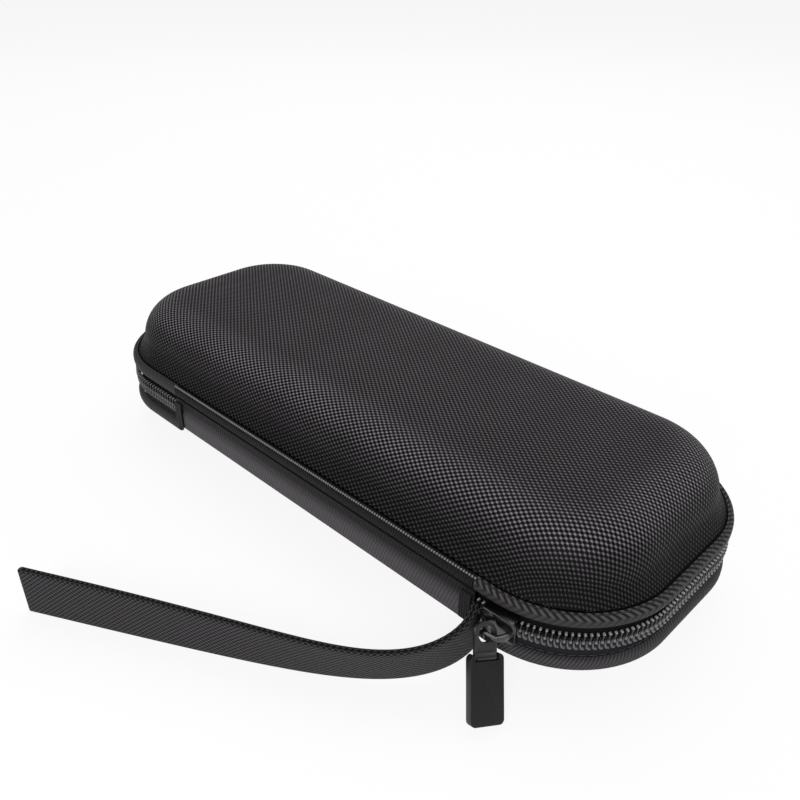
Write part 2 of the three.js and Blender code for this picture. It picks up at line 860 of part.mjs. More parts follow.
// Two layers of webbing, one continuous band that folds back on itself at the far end.
function strapGeometry() {
  const line = strapLine();
  const offset = (webbingThickness + strapLayerGap) / 2;
  const aside = (place, distance) => ({
    ...place,
    x: place.x - Math.sin(place.heading) * distance,
    y: place.y + Math.cos(place.heading) * distance,
    inX: -Math.sin(place.heading),
    inY: Math.cos(place.heading),
    facing: 1,
  });
  const end = line[line.length - 1];
  const fold = [];
  for (let index = 1; index < foldSteps; index += 1) {
    const turned = (2 * quarterTurn * index) / foldSteps;
    const angle = end.heading + quarterTurn - turned;
    fold.push({
      ...end,
      x: end.x + Math.cos(angle) * offset,
      y: end.y + Math.sin(angle) * offset,
      inX: Math.cos(angle),
      inY: Math.sin(angle),
      facing: Math.cos(turned),
    });
  }
  const back = line.map((place) => {
    const turned = aside(place, -offset);
    return { ...turned, inX: -turned.inX, inY: -turned.inY, facing: -1 };
  }).reverse();
  const stations = [...line.map((place) => aside(place, offset)), ...fold, ...back];
  const halfThick = webbingThickness / 2;
  const band = (place) => {
    const low = seatGap + strapRootLift * Math.exp(-place.run / strapLiftLength);
    const lean = strapLeanAt(place.run);
    const high = low + Math.sqrt(strapWidth * strapWidth - lean * lean);
    const over = lean * place.facing;
    return [[-halfThick, low], [halfThick, low], [halfThick + over, high], [-halfThick + over, high]];
  };
  return sweep(stations, band);
}

// How far the strap's upper edge leans outwards. It stands straight at its root and at its end.
function strapLeanAt(run) {
  const reach = run / strapLeanReach;
  return strapLean * reach * Math.exp(1 - reach);
}

function part(name, geometry, color, roughness, metalness = 0) {
  const material = new THREE.MeshStandardMaterial({ color, roughness, metalness });
  const mesh = new THREE.Mesh(geometry, material);
  mesh.name = name;
  return mesh;
}

function baseAssembly() {
  const group = new THREE.Group();
  group.add(
    part('base_shell', shellGeometry(baseHalf), 0x1f1d20, 0.8),
    part('base_liner', linerGeometry(baseHalf), 0x0e0f12, 0.7),
    part('base_binding', baseBindingGeometry(), 0x2c2a2d, 0.85),
    part('zip_tape_base', tapeGeometry(baseHalf, baseTapeTop), 0x2b2a2c, 0.9),
    part('zip_coil_base', coilGeometry(baseHalf), 0x17161a, 0.35),
    part('spine_panel', spineGeometry(), 0x343236, 0.85),
    part('spine_fold_right', endFoldGeometry(spineRight - endFoldWidth, spineRight), 0x232225, 0.9),
    part('spine_fold_left', endFoldGeometry(-spineLeft, -spineLeft + endFoldWidth), 0x232225, 0.9),
    part('spine_flap', flapGeometry(), 0x15161a, 0.45),
    part('base_net_pocket', netGeometry(baseHalf), 0x1b1c20, 0.9),
    part('base_pocket_hem', hemGeometry(baseHalf), 0x141417, 0.85),
    part('pen_loop_band', penLoopGeometry(), 0x131316, 0.9),
  );
  return group;
}

function lidAssembly() {
  const group = new THREE.Group();
  group.add(
    part('lid_shell', shellGeometry(lidHalf), 0x1f1d20, 0.8),
    part('lid_liner', linerGeometry(lidHalf), 0x0e0f12, 0.7),
    part('lid_binding', lidBindingGeometry(), 0x2c2a2d, 0.85),
    part('zip_tape_lid', tapeGeometry(lidHalf, lidTapeTop), 0x2b2a2c, 0.9),
    part('zip_coil_lid', coilGeometry(lidHalf), 0x17161a, 0.35),
    part('lid_net_pocket', netGeometry(lidHalf), 0x1b1c20, 0.9),
    part('lid_pocket_hem', hemGeometry(lidHalf), 0x141417, 0.85),
  );
  return group;
}

function packAssembly() {
  const group = new THREE.Group();
  group.add(
    part('base_gel_pack', packGeometry(baseHalf), 0x2c3566, 0.4),
    part('lid_gel_pack', packGeometry(lidHalf), 0x2c3566, 0.4),
  );
  return group;
}

// The slider stands on the chain just past the spine, with its pull threaded on the crown.
function sliderAssembly() {
  const angle = THREE.MathUtils.degToRad(sliderAngle);
  const frame = new THREE.Group();
  frame.position.set(
    caseLength / 2 - cornerRadius + cornerRadius * Math.cos(angle),
    -caseWidth / 2 + cornerRadius + cornerRadius * Math.sin(angle),
    coilLevel,
  );
  frame.rotation.z = angle + quarterTurn;
  frame.add(part('slider_body', sliderGeometry(), 0x1a1a1c, 0.25, 0.8), pullAssembly());
  return frame;
}

function pullAssembly() {
  const crossing = THREE.MathUtils.degToRad(crownCrossing);
  const plateFace = sliderFrontGap + sliderPlateThickness;
  const hang = new THREE.Group();
  hang.position.set(
    crownRadius * Math.cos(crossing),
    -plateFace - crownRadius * Math.sin(crossing),
    0,
  );
  hang.rotation.z = quarterTurn - (crossing - quarterTurn) - THREE.MathUtils.degToRad(pullTurn);
  const tilt = new THREE.Group();
  tilt.rotation.x = -THREE.MathUtils.degToRad(pullTilt);
  const swing = new THREE.Group();
  swing.rotation.y = THREE.MathUtils.degToRad(pullSwing);
  swing.add(
    part('pull_head', pullHeadGeometry(), 0x2a2a2c, 0.3, 0.85),
    part('pull_tab', pullTabGeometry(), 0x1c1b1e, 0.5),
  );
  tilt.add(swing);
  hang.add(tilt);
  return hang;
}

const insulinCase = new THREE.Group();
insulinCase.add(
  baseAssembly(),
  lidAssembly(),
  packAssembly(),
  sliderAssembly(),
  part('wrist_strap', strapGeometry(), 0x222124, 0.9),
);

export default insulinCase;
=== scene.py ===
"""Looks of an insulin cooling case: cloth, zip, net pockets, gel packs, strap and stage."""
import math

import bmesh
import bpy
from mathutils import Matrix, Vector


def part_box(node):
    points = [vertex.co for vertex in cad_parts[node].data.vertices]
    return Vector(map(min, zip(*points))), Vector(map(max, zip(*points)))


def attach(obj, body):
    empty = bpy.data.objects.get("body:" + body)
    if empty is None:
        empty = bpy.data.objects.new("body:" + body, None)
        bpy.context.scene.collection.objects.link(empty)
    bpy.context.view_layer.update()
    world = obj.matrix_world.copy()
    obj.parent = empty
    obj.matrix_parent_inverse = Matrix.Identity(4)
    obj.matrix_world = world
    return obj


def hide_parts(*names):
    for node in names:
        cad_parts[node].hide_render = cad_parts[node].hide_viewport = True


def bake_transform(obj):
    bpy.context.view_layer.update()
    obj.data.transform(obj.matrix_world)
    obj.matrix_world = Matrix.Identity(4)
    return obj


bl_info = {
    "name": "Insulin cooling case",
    "version": (1, 0, 0),
    "blender": (4, 5, 0),
    "location": "View3D > Sidebar > Case",
    "description": "Dresses a zipped cooling case in cloth, zip, net, gel packs and webbing",
    "category": "Object",
}

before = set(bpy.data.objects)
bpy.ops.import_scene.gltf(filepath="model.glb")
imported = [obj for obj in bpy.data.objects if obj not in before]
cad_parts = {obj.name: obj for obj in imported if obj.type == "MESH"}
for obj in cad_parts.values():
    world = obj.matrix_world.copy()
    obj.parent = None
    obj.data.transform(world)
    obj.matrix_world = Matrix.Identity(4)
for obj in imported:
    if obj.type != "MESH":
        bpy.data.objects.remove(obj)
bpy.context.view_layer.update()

MM = 0.001
FULL_TURN = 2 * math.pi
QUARTER_TURN = FULL_TURN / 4
UV_NAME = "surface"
SIDES = {"lid": 1, "base": -1}


def in_mm(*numbers):
    """Lengths that are written in millimetres, in the metres that Blender uses."""
    return tuple(number * MM for number in numbers)


def between(share, low, high):
    """From low where the share is 0 to high where it is 1."""
    return low + (high - low) * share


def span(node, axis):
    """Length of a CAD node along one axis, in millimetres."""
    low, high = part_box(node)
    return (high[axis] - low[axis]) / MM


def tone(*screen):
    """A colour as seen on screen, 0 to 255, turned into the linear light that Blender uses."""
    def linear(value):
        share = value / 255
        return share / 12.92 if share <= 0.04045 else ((share + 0.055) / 1.055) ** 2.4
    return tuple(linear(value) for value in screen)


def length_prop(label, about, millimetres):
    return bpy.props.FloatProperty(
        name=label, description=about, default=millimetres * MM, unit="LENGTH", precision=5)


def colour_prop(label, about, *screen):
    return bpy.props.FloatVectorProperty(
        name=label, description=about, default=tone(*screen), subtype="COLOR", min=0, max=1)


def angle_prop(label, about, degrees):
    return bpy.props.FloatProperty(
        name=label, description=about, default=math.radians(degrees), subtype="ANGLE")


def power_prop(label, about, watts):
    return bpy.props.FloatProperty(name=label, description=about, default=watts, unit="POWER")


class CaseSizes(bpy.types.PropertyGroup):
    """Sizes of the case, in metres."""
    length: length_prop(
        "Length", "Length at the outside of the zip chain", span("zip_coil_base", 0))
    width: length_prop("Width", "Width at the outside of the zip chain", span("zip_coil_base", 1))
    corner: length_prop("Corner", "Radius of the corners on plan", 30)
    base_depth: length_prop("Base depth", "From the underside up to the zip", 18.5)
    lid_depth: length_prop("Lid depth", "From the zip up to the lid's flat", 24)
    wall: length_prop("Wall", "Thickness of the moulded halves", 2.4)
    lining: length_prop("Lining", "Thickness of the lining", 0.9)
    clearance: length_prop("Clearance", "Gap between pieces that touch", 0.3)
    rim_rise: length_prop("Rim rise", "From the zip to the cut edge of each half", 4.6)
    rim_inset: length_prop("Rim inset", "From the chain's outside in to the walls", 3.1)
    zip_start: length_prop("Zip start", "Where the zip starts, from the middle of the spine", 68)
    zip_end: length_prop("Zip end", "Where the zip ends, from the middle of the spine", 56)
    tooth_pitch: length_prop("Tooth pitch", "Distance from tooth to tooth", 1.46)
    stitch_pitch: length_prop("Stitch pitch", "Distance from stitch to stitch", 2.4)
    bead_pitch: length_prop("Bead pitch", "Distance from bead to bead along the spine", 0.84)
    net_pitch: length_prop("Net pitch", "Distance from strand to strand", 2.5)
    weave_along: length_prop("Weave along", "From thread to thread along the shells", 1.84)
    weave_across: length_prop("Weave across", "From thread to thread across the shells", 1.34)
    rib_pitch: length_prop("Rib pitch", "Distance from rib to rib in the bindings", 1.0)
    pack_thickness: length_prop("Pack thickness", "Thickness of a filled gel pack", 6.6)
    strap_length: length_prop("Strap length", "Length of the folded strap", 116)
    strap_width: length_prop("Strap width", "Width of the webbing", 14)
    webbing: length_prop("Webbing", "Thickness of the strap's webbing", 0.9)
    strap_layer_gap: length_prop("Strap layer gap", "Gap between the strap's two layers", 0.15)


class CaseColours(bpy.types.PropertyGroup):
    """Colours of the case's finishes."""
    shell_dark: colour_prop("Shell, deep", "Gaps between the shell's threads", 6, 5, 6)
    shell_light: colour_prop("Shell, threads", "Raised threads of the shell", 98, 94, 98)
    binding: colour_prop("Binding", "Ribbed binding and spine panel", 56, 54, 56)
    tape: colour_prop("Tape", "Zip tape", 20, 19, 21)
    teeth: colour_prop("Teeth", "Zip chain", 34, 33, 35)
    thread: colour_prop("Thread", "Sewing thread and edge beads", 172, 169, 173)
    metal: colour_prop("Metal", "Slider and pull head", 13, 12, 14)
    tab: colour_prop("Tab", "Soft tab of the pull", 28, 27, 29)
    webbing: colour_prop("Webbing", "Wrist strap", 51, 49, 51)
    lining: colour_prop("Lining", "Lining of both halves", 24, 25, 28)
    leather: colour_prop("Flap", "Smooth flap over the spine", 28, 28, 31)
    elastic: colour_prop("Elastic", "Pen loops and pocket hems", 26, 26, 28)
    net: colour_prop("Net", "Pocket nets", 20, 21, 25)
    film: colour_prop("Film", "Film of the gel packs", 24, 32, 80)
    crystal: colour_prop("Crystals", "Printed crystals on the gel packs", 196, 206, 232)


class StageSettings(bpy.types.PropertyGroup):
    """Camera and light."""
    camera_place: bpy.props.FloatVectorProperty(
        name="Camera place", description="Where the camera stands",
        default=(0.1543, -0.15688, 0.15889), subtype="TRANSLATION", unit="LENGTH")
    lens: bpy.props.FloatProperty(
        name="Lens", description="Focal length in millimetres", default=37.67, unit="CAMERA")
    heading: angle_prop("Heading", "Turn of the camera to the left of +Y", 43.82)
    pitch: angle_prop("Pitch", "How far the camera looks down", 30.75)
    roll: angle_prop("Roll", "Turn of the camera about its line of sight", 0.91)
    key: power_prop("Key", "Power of the large lamp overhead", 4.6)
    fill: power_prop("Fill", "Power of the lamp on the camera's side", 3.4)
    rim: power_prop("Rim", "Power of the lamp behind the case", 0.7)
    ambient: bpy.props.FloatProperty(
        name="Ambient", description="Light from all round", default=0.34)


def operation(kind, reflected=False):
    """A method that adds one Math node to the tree."""
    def apply(self, other=0):
        return self.tree.math(kind, *((other, self) if reflected else (self, other)))
    return apply


class Value:
    """A node's output that takes part in Python arithmetic."""

    def __init__(self, tree, socket):
        self.tree = tree
        self.socket = socket

    __add__ = __radd__ = operation("ADD")
    __mul__ = __rmul__ = operation("MULTIPLY")
    __sub__ = operation("SUBTRACT")
    __rsub__ = operation("SUBTRACT", reflected=True)
    __truediv__ = operation("DIVIDE")
    __rtruediv__ = operation("DIVIDE", reflected=True)
    __lt__ = operation("LESS_THAN")
    __gt__ = operation("GREATER_THAN")
    __abs__ = operation("ABSOLUTE")


class Tree:
    """A node tree with one method that makes any node."""

    def __init__(self, tree):
        self.tree = tree

    def node(self, kind, settings=None, inputs=None, output=0):
        """Makes a node and gives the output that is named, or a list where several are.

        Inputs are given by name or place. A node without outputs is given itself.
        """
        made = self.tree.nodes.new(kind)
        for key, value in (settings or {}).items():
            setattr(made, key, value)
        for key, value in (inputs or {}).items():
            if isinstance(value, Value):
                self.tree.links.new(value.socket, made.inputs[key])
            else:
                made.inputs[key].default_value = value
        if not isinstance(output, (int, str)):
            return [Value(self, made.outputs[key]) for key in output]
        return Value(self, made.outputs[output]) if len(made.outputs) else made

    def math(self, kind, first, second=0):
        return self.node("ShaderNodeMath", {"operation": kind}, {0: first, 1: second})

    def larger(self, first, second):
        return self.math("MAXIMUM", first, second)

    def parts(self, vector):
        """The three numbers of a vector."""
        return self.node("ShaderNodeSeparateXYZ", inputs={0: vector}, output=range(3))

    def ramp(self, value, low, high):
        """A smooth step from 0 at low to 1 at high."""
        return self.node(
            "ShaderNodeMapRange", {"interpolation_type": "SMOOTHSTEP"},
            {0: value, 1: low, 2: high})

    def wave(self, turns):
        """A smooth wave from 0 to 1, one crest for each whole turn."""
        return 0.5 + 0.5 * self.math("COSINE", turns * FULL_TURN)

    def distance(self, x, y):
        return self.math("SQRT", x * x + y * y)

    def distance_outside(self, x, y, half_length, half_width):
        """How far a point lies outside a rectangle round the origin."""
        return self.distance(
            self.larger(abs(x) - half_length, 0), self.larger(abs(y) - half_width, 0))


class Finish(Tree):
    """A material, built from expressions."""

    def __init__(self, name):
        self.material = bpy.data.materials.new(name)
        self.material.use_nodes = True
        self.material.node_tree.nodes.clear()
        super().__init__(self.material.node_tree)

    def surface_place(self):
        """The place on the cloth, in metres along and across it."""
        return self.parts(self.node("ShaderNodeUVMap", {"uv_map": UV_NAME}))[:2]

    def object_place(self):
        return self.node("ShaderNodeTexCoord", output="Object")

    def mix(self, share, first, second):
        return self.node(
            "ShaderNodeMix", {"data_type": "RGBA"}, {0: share, 6: rgba(first), 7: rgba(second)}, 2)

    def noise(self, size, detail):
        """Soft noise from 0 to 1 with patches of the given size, in metres."""
        return self.node("ShaderNodeTexNoise", inputs={
            "Vector": self.object_place(), "Scale": 1 / size, "Detail": detail})

    def staggered(self, along, across, gap, crest):
        """Raised threads in staggered rows, at the given distances along and across the cloth."""
        u, v = self.surface_place()
        columns = self.math("COSINE", u * (FULL_TURN / along))
        rows = self.math("COSINE", v * (FULL_TURN / across))
        return self.ramp(columns * rows, gap, crest)

    def shades(self, colour, share, dark, light):
        """Shades of one colour, from its dark gain where the share is 0 to its light gain."""
        return self.mix(share, scaled(colour, dark), scaled(colour, light))

    def done(self, colour, roughness, specular, height=None, depth=0.0, strength=1.0, coat=0.0):
        """Closes the material with one Principled shader, and a bump of the given depth."""
        inputs = {"Base Color": rgba(colour), "Roughness": roughness,
                  "Specular IOR Level": specular, "Coat Weight": coat}
        if height:
            inputs["Normal"] = self.node("ShaderNodeBump", inputs={
                "Height": height, "Distance": depth, "Strength": strength})
        shader = self.node("ShaderNodeBsdfPrincipled", inputs=inputs)
        self.node("ShaderNodeOutputMaterial", inputs={"Surface": shader})
        return self.material


def rgba(colour):
    return colour if isinstance(colour, Value) else (*colour[:3], 1.0)


def scaled(colour, gain):
    return tuple(min(channel * gain, 1.0) for channel in colour[:3])


def colours():
    return bpy.context.scene.case_colours


class GeometryTree(Tree):
    """A Geometry Nodes tree with named inputs, that is run once and turned into a mesh."""

    def __init__(self, name, inputs):
        super().__init__(bpy.data.node_groups.new(name, "GeometryNodeTree"))
        face = self.tree.interface
        face.new_socket(name="Geometry", in_out="OUTPUT", socket_type="NodeSocketGeometry")
        kinds = {"Geometry": "NodeSocketGeometry", **inputs, "Finish": "NodeSocketMaterial"}
        self.identifiers = {
            label: face.new_socket(name=label, in_out="INPUT", socket_type=kind).identifier
            for label, kind in kinds.items()}
        self.entry = self.tree.nodes.new("NodeGroupInput")
        self.exit = self.tree.nodes.new("NodeGroupOutput")

    def given(self, label):
        return Value(self, self.entry.outputs[label])

    def copies(self, points, turn):
        """Sets a copy of the tree's item on every point."""
        item = self.node(
            "GeometryNodeObjectInfo", inputs={"Object": self.given("Item")}, output="Geometry")
        return self.node("GeometryNodeInstanceOnPoints", inputs={
            "Points": points, "Instance": item, "Rotation": turn})

    def close(self, geometry):
        real = self.node("GeometryNodeRealizeInstances", inputs={"Geometry": geometry})
        dressed = self.node(
            "GeometryNodeSetMaterial", inputs={"Geometry": real, "Material": self.given("Finish")})
        self.tree.links.new(dressed.socket, self.exit.inputs["Geometry"])

    def run(self, name, source, values):
        """Runs the tree on a mesh and returns the result as a plain object."""
        carrier = place_object(name + "_carrier", source)
        modifier = carrier.modifiers.new("Pattern", "NODES")
        modifier.node_group = self.tree
        for label, value in values.items():
            modifier[self.identifiers[label]] = value
        mesh = plain_mesh(carrier)
        carrier.modifiers.remove(modifier)
        bpy.data.objects.remove(carrier)
        mesh.name = name
        return place_object(name, mesh)


def place_object(name, data):
    made = bpy.data.objects.new(name, data)
    bpy.context.scene.collection.objects.link(made)
    return made


def plain_mesh(carrier):
    """The mesh of an object with its modifiers worked out."""
    graph = bpy.context.evaluated_depsgraph_get()
    return bpy.data.meshes.new_from_object(carrier.evaluated_get(graph))


def skin(name, rings, uv_at=None, smooth=40):
    """Skins closed rings of equal count and caps both ends.

    uv_at gives the place on the cloth of ring i, point j. Without it they stand 1 mm apart.
    """
    count = len(rings[0])
    uv_at = uv_at or (lambda i, j: (i * MM, j * MM))
    patches = [[(i, j), (i, j + 1), (i + 1, j + 1), (i + 1, j)]
               for i in range(len(rings) - 1) for j in range(count)]
    patches += [[(i, j) for j in range(count)] for i in (0, len(rings) - 1)]
    mesh = bpy.data.meshes.new(name)
    mesh.from_pydata(
        [tuple(point) for ring in rings for point in ring], [],
        [[i * count + j % count for i, j in patch] for patch in patches])
    layer = mesh.uv_layers.new(name=UV_NAME)
    for polygon, patch in zip(mesh.polygons, patches):
        for loop, corner in zip(polygon.loop_indices, patch):
            layer.data[loop].uv = uv_at(*corner)
    shape = bmesh.new()
    shape.from_mesh(mesh)
    bmesh.ops.recalc_face_normals(shape, faces=shape.faces)
    shape.to_mesh(mesh)
    shape.free()
    soften(mesh, smooth)
    return place_object(name, mesh)


def soften(mesh, angle):
    mesh.shade_smooth()
    mesh.set_sharp_from_angle(angle=math.radians(angle))


def running_lengths(points, closed=False):
    """The distance covered at each point of a line, or round a ring back to its start."""
    line = [Vector(point) for point in points]
    if closed:
        line.append(line[0])
    total, lengths = 0.0, [0.0]
    for before, after in zip(line, line[1:]):
        total += (after - before).length
        lengths.append(total)
    return lengths


def neighbours(points, index):
    """The points before and after one point of a line, or the point itself at an end."""
    return points[max(index - 1, 0)], points[min(index + 1, len(points) - 1)]


def evenly(start, end, count):
    """The values from start to end, in as many equal steps as count says."""
    return [start + (end - start) * index / count for index in range(count + 1)]


SPINE_GAP, MESH_PLACE = in_mm(0.4, 1.71)
LEAST_TURN_SHARE = 0.1
RING_STEPS = 24


class Outline:
    """The case on plan: a rounded rectangle, walked anticlockwise from the mid spine side."""

    def __init__(self, sizes):
        self.length, self.width, self.radius = sizes.length, sizes.width, sizes.corner
        self.coil = sizes.base_depth
        self.straight = self.length / 2 - self.radius
        self.end = self.width - 2 * self.radius
        self.arc = QUARTER_TURN * self.radius
        self.whole = 4 * (self.straight + self.arc) + 2 * self.end
        self.zip_start = sizes.zip_start
        self.zip_end = self.whole - sizes.zip_end
        self.meshes = self.straight + MESH_PLACE
        self.spine_start = SPINE_GAP - sizes.zip_end
        self.spine_end = sizes.zip_start - SPINE_GAP

    def place(self, s):
        """Point and inward direction at a distance along the outline."""
        run = s % self.whole
        end = [(self.arc, 1), (self.end, 0), (self.arc, 1)]
        legs = [(self.straight, 0), *end, (2 * self.straight, 0), *end, (self.straight, 0)]
        point, heading = Vector((0, -self.width / 2)), 0.0
        for size, turns in legs:
            along = min(run, size)
            if turns:
                after = heading + along / self.radius
                point = point + self.radius * Vector((
                    math.sin(after) - math.sin(heading), math.cos(heading) - math.cos(after)))
                heading = after
            else:
                point = point + along * Vector((math.cos(heading), math.sin(heading)))
            run -= along
            if run <= 0:
                break
        return point, Vector((-math.sin(heading), math.cos(heading)))

    def line(self, start, end, inset, level, step):
        """A level line along the outline, drawn in by an inset."""
        points = []
        for s in self.stops(start, end, step):
            point, inward = self.place(s)
            points.append(Vector((point.x + inward.x * inset, point.y + inward.y * inset, level)))
        return points

    def stops(self, start, end, step):
        return evenly(start, end, max(2, round((end - start) / step)))

    def ring(self, inset, level, steps=RING_STEPS, centre=0.0, size=None):
        """A level ring, drawn in by an inset."""
        length, width, radius = size or (self.length, self.width, self.radius)
        turn = max(radius - inset, min(radius * LEAST_TURN_SHARE, width / 2 - inset))
        far_x, far_y = length / 2 - inset - turn, width / 2 - inset - turn
        points = []
        for corner in range(4):
            cx = far_x if corner in (0, 3) else -far_x
            cy = far_y if corner < 2 else -far_y
            for angle in evenly(corner * QUARTER_TURN, (corner + 1) * QUARTER_TURN, steps):
                points.append(Vector((
                    centre + cx + turn * math.cos(angle), cy + turn * math.sin(angle), level)))
        return points


SWEEP_STEP = 2 * MM


def sweep(name, outline, start, end, section, step=SWEEP_STEP):
    """Carries a section of (inset, level) points along the outline."""
    rows = [outline.line(start, end, inset, level, step) for inset, level in section]
    across = running_lengths(section, closed=True)
    along = outline.stops(start, end, step)
    return skin(name, list(zip(*rows)), lambda i, j: (along[i], across[j]))


WALL_STEPS = 14
LEDGE_FROM, LEDGE_TO, MIDDLE_SLOT = in_mm(7.3, 7.8, 0.4)
FLAT_SHARES = (0.2, 0.45, 0.7, 0.88, 1.0)
# The form of each half's wall, which Half takes up under the same names: the rise of its flat
# towards the middle, the step over its rim, its draft and the two radii of its shoulder.
FORMS = {
    "lid": {"crown": 0.6 * MM, "ledge": 0.5 * MM, "draft": 2.5 * MM,
            "fillet_out": 12.4 * MM, "fillet_up": 12.4 * MM},
    "base": {"crown": 0, "ledge": 0, "draft": 0.6 * MM,
             "fillet_out": 15 * MM, "fillet_up": 12 * MM},
}


class Half:
    """The wall of the lid or the base, as (inset, rise) points."""

    def __init__(self, sizes, body):
        self.sizes = sizes
        self.side = SIDES[body]
        self.depth = {"lid": sizes.lid_depth, "base": sizes.base_depth}[body]
        for name, value in FORMS[body].items():
            setattr(self, name, value)
        self.centre = sizes.rim_inset - self.ledge + self.draft + self.fillet_out
        self.wall_top = self.depth - self.fillet_up
        self.inside = sizes.wall + sizes.clearance + sizes.lining
        self.seat = self.depth - sizes.wall - 2 * sizes.clearance - sizes.lining
        self.pocket = self.seat - sizes.pack_thickness - sizes.clearance

    def level(self, rise):
        return self.sizes.base_depth + self.side * rise

    def profile(self, offset):
        """The wall from its cut edge to its flat, moved in by an offset."""
        start = self.sizes.rim_inset + offset
        points = [(start, self.sizes.rim_rise)]
        if self.ledge:
            points += [(start, LEDGE_FROM), (start - self.ledge, LEDGE_TO)]
        for angle in evenly(0, QUARTER_TURN, WALL_STEPS):
            points.append((
                self.centre - (self.fillet_out - offset) * math.cos(angle),
                self.wall_top + (self.fillet_up - offset) * math.sin(angle)))
        middle = self.sizes.width / 2 - MIDDLE_SLOT
        for share in FLAT_SHARES:
            points.append((
                self.centre + (middle - self.centre) * share,
                self.depth - offset + self.crown * (1 - (1 - share) ** 2)))
        return points

    def inset_at(self, offset, rise):
        """How far in the wall stands at a rise, moved in by an offset."""
        climb = min(max(rise - self.wall_top, 0) / (self.fillet_up - offset), 1)
        return self.centre - (self.fillet_out - offset) * math.sqrt(1 - climb * climb)


SAME_PLACE = 0.1 * MM


def stack(name, outline, half, profile):
    """Stacks level rings along a wall profile. The cloth is laid out flat from the middle."""
    rings = [outline.ring(inset, half.level(rise)) for inset, rise in profile]
    lengths = running_lengths(profile)
    level_part = [length for (inset, _), length in zip(profile, lengths)
                  if inset > half.centre - SAME_PLACE]
    flat_rings = []
    for (inset, _), length in zip(profile, lengths):
        drop = min(abs(length - edge) for edge in level_part)
        flat_rings.append(outline.ring(half.centre - drop if drop else inset, 0))
    return skin(name, rings, laid_out(flat_rings))


def laid_out(rings):
    """Takes the place on the cloth from level rings."""
    def uv_at(i, j):
        place = rings[i][j % len(rings[i])]
        return (place.x, place.y)
    return uv_at


def dress(piece, material):
    piece.data.materials.clear()
    piece.data.materials.append(material)
    return piece


def assign(piece, slot, *nodes):
    """Hides the CAD nodes that a piece stands for. The slot that would name its finish is not used.
    """
    if nodes:
        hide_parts(*nodes)
    return piece


def publish(piece, material, body, slot, *nodes):
    """Puts a finished piece on its body and in its finish, in place of CAD nodes."""
    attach(dress(piece, material), body)
    return assign(piece, slot, *nodes)


def plan_of(context):
    """The case's sizes and the outline that they make."""
    sizes = context.scene.case_sizes
    return sizes, Outline(sizes)


WEAR_PATCH, SHELL_BUMP = in_mm(20, 0.3)
# Where the painted highlight lies along the shoulder and where painted shade falls down the wall, by
# distance across the laid-out cloth.
SHOULDER_HIGHLIGHT_FROM, SHOULDER_HIGHLIGHT_FULL, SHOULDER_HIGHLIGHT_FADES, SHOULDER_HIGHLIGHT_TO = in_mm(8, 19, 20, 26)
WALL_SHADE_FROM, WALL_SHADE_FULL = in_mm(21, 35)


def shell_cloth(sizes):
    """Coarse woven polyester: threads in staggered rows, with a painted highlight along the shoulder
    and painted shade down the wall.
    """
    finish = Finish("shell_cloth")
    threads = finish.staggered(sizes.weave_along, sizes.weave_across, gap=-0.3, crest=0.94)
    drop = finish.distance_outside(
        *finish.surface_place(), sizes.length / 2 - sizes.corner, sizes.width / 2 - sizes.corner)
    # Painted highlight: the threads are made lighter along the shoulder.
    shoulder = finish.ramp(drop, SHOULDER_HIGHLIGHT_FROM, SHOULDER_HIGHLIGHT_FULL) * (
        1 - finish.ramp(drop, SHOULDER_HIGHLIGHT_FADES, SHOULDER_HIGHLIGHT_TO))
    # Painted shade: the threads darken down the wall towards the crease at the binding.
    wall = finish.ramp(drop, WALL_SHADE_FROM, WALL_SHADE_FULL)
    worn = between(finish.noise(WEAR_PATCH, detail=3), 0.75, 1.25)
    light = threads * worn * between(shoulder, 0.5, 0.925) * between(wall, 1, 0.38)
    tint = finish.mix(light, colours().shell_dark, scaled(colours().shell_light, 2))
    return finish.done(
        tint, roughness=between(threads, 0.6, 0.44), specular=0.09,
        height=threads, depth=SHELL_BUMP)


WOVEN = {"roughness": 0.62, "specular": 0.14}
RIB_SHARE, FINE_SHARE = 0.8, 0.2
FINE_PITCH, RIB_BUMP = in_mm(0.45, 0.16)


def ribbed_cloth(name, colour, pitch, gain=1.0, slant=0.0, contrast=0.8, depth=RIB_BUMP,
                 lit_part=None):
    """Ribs that stand across the cloth, with a fine thread along them.

    lit_part says where the cloth starts to be lit, is fully lit and ends, across it; outside it the
    colour is darkened as painted shade.
    """
    finish = Finish(name)
    colour = scaled(colour, gain)
    u, v = finish.surface_place()
    ribs = finish.wave((u + v * slant) / pitch)
    fine = finish.wave(v / FINE_PITCH)
    tint = finish.shades(
        colour, ribs * RIB_SHARE + fine * FINE_SHARE, dark=1 - contrast, light=1 + contrast / 2)
    # Painted shade: outside the lit part the colour is mixed towards a near-black copy of itself.
    if lit_part:
        start, full, back = lit_part
        lit = finish.ramp(v, start, full) * (v < back)
        tint = finish.mix(between(lit, 0.12, 1), scaled(colour, 0.05), tint)
    return finish.done(tint, **WOVEN, height=ribs * between(fine, RIB_SHARE, 1), depth=depth)


CHEVRON_PITCH, CHEVRON_MIDDLE, CHEVRON_BUMP = in_mm(2, 3.7, 0.25)
PRESSED_BELOW, BOLD_ABOVE = in_mm(0.4, 0.2)
CHEVRON_SLOPE = 1.1
PRESSED_SHARE = 0.42


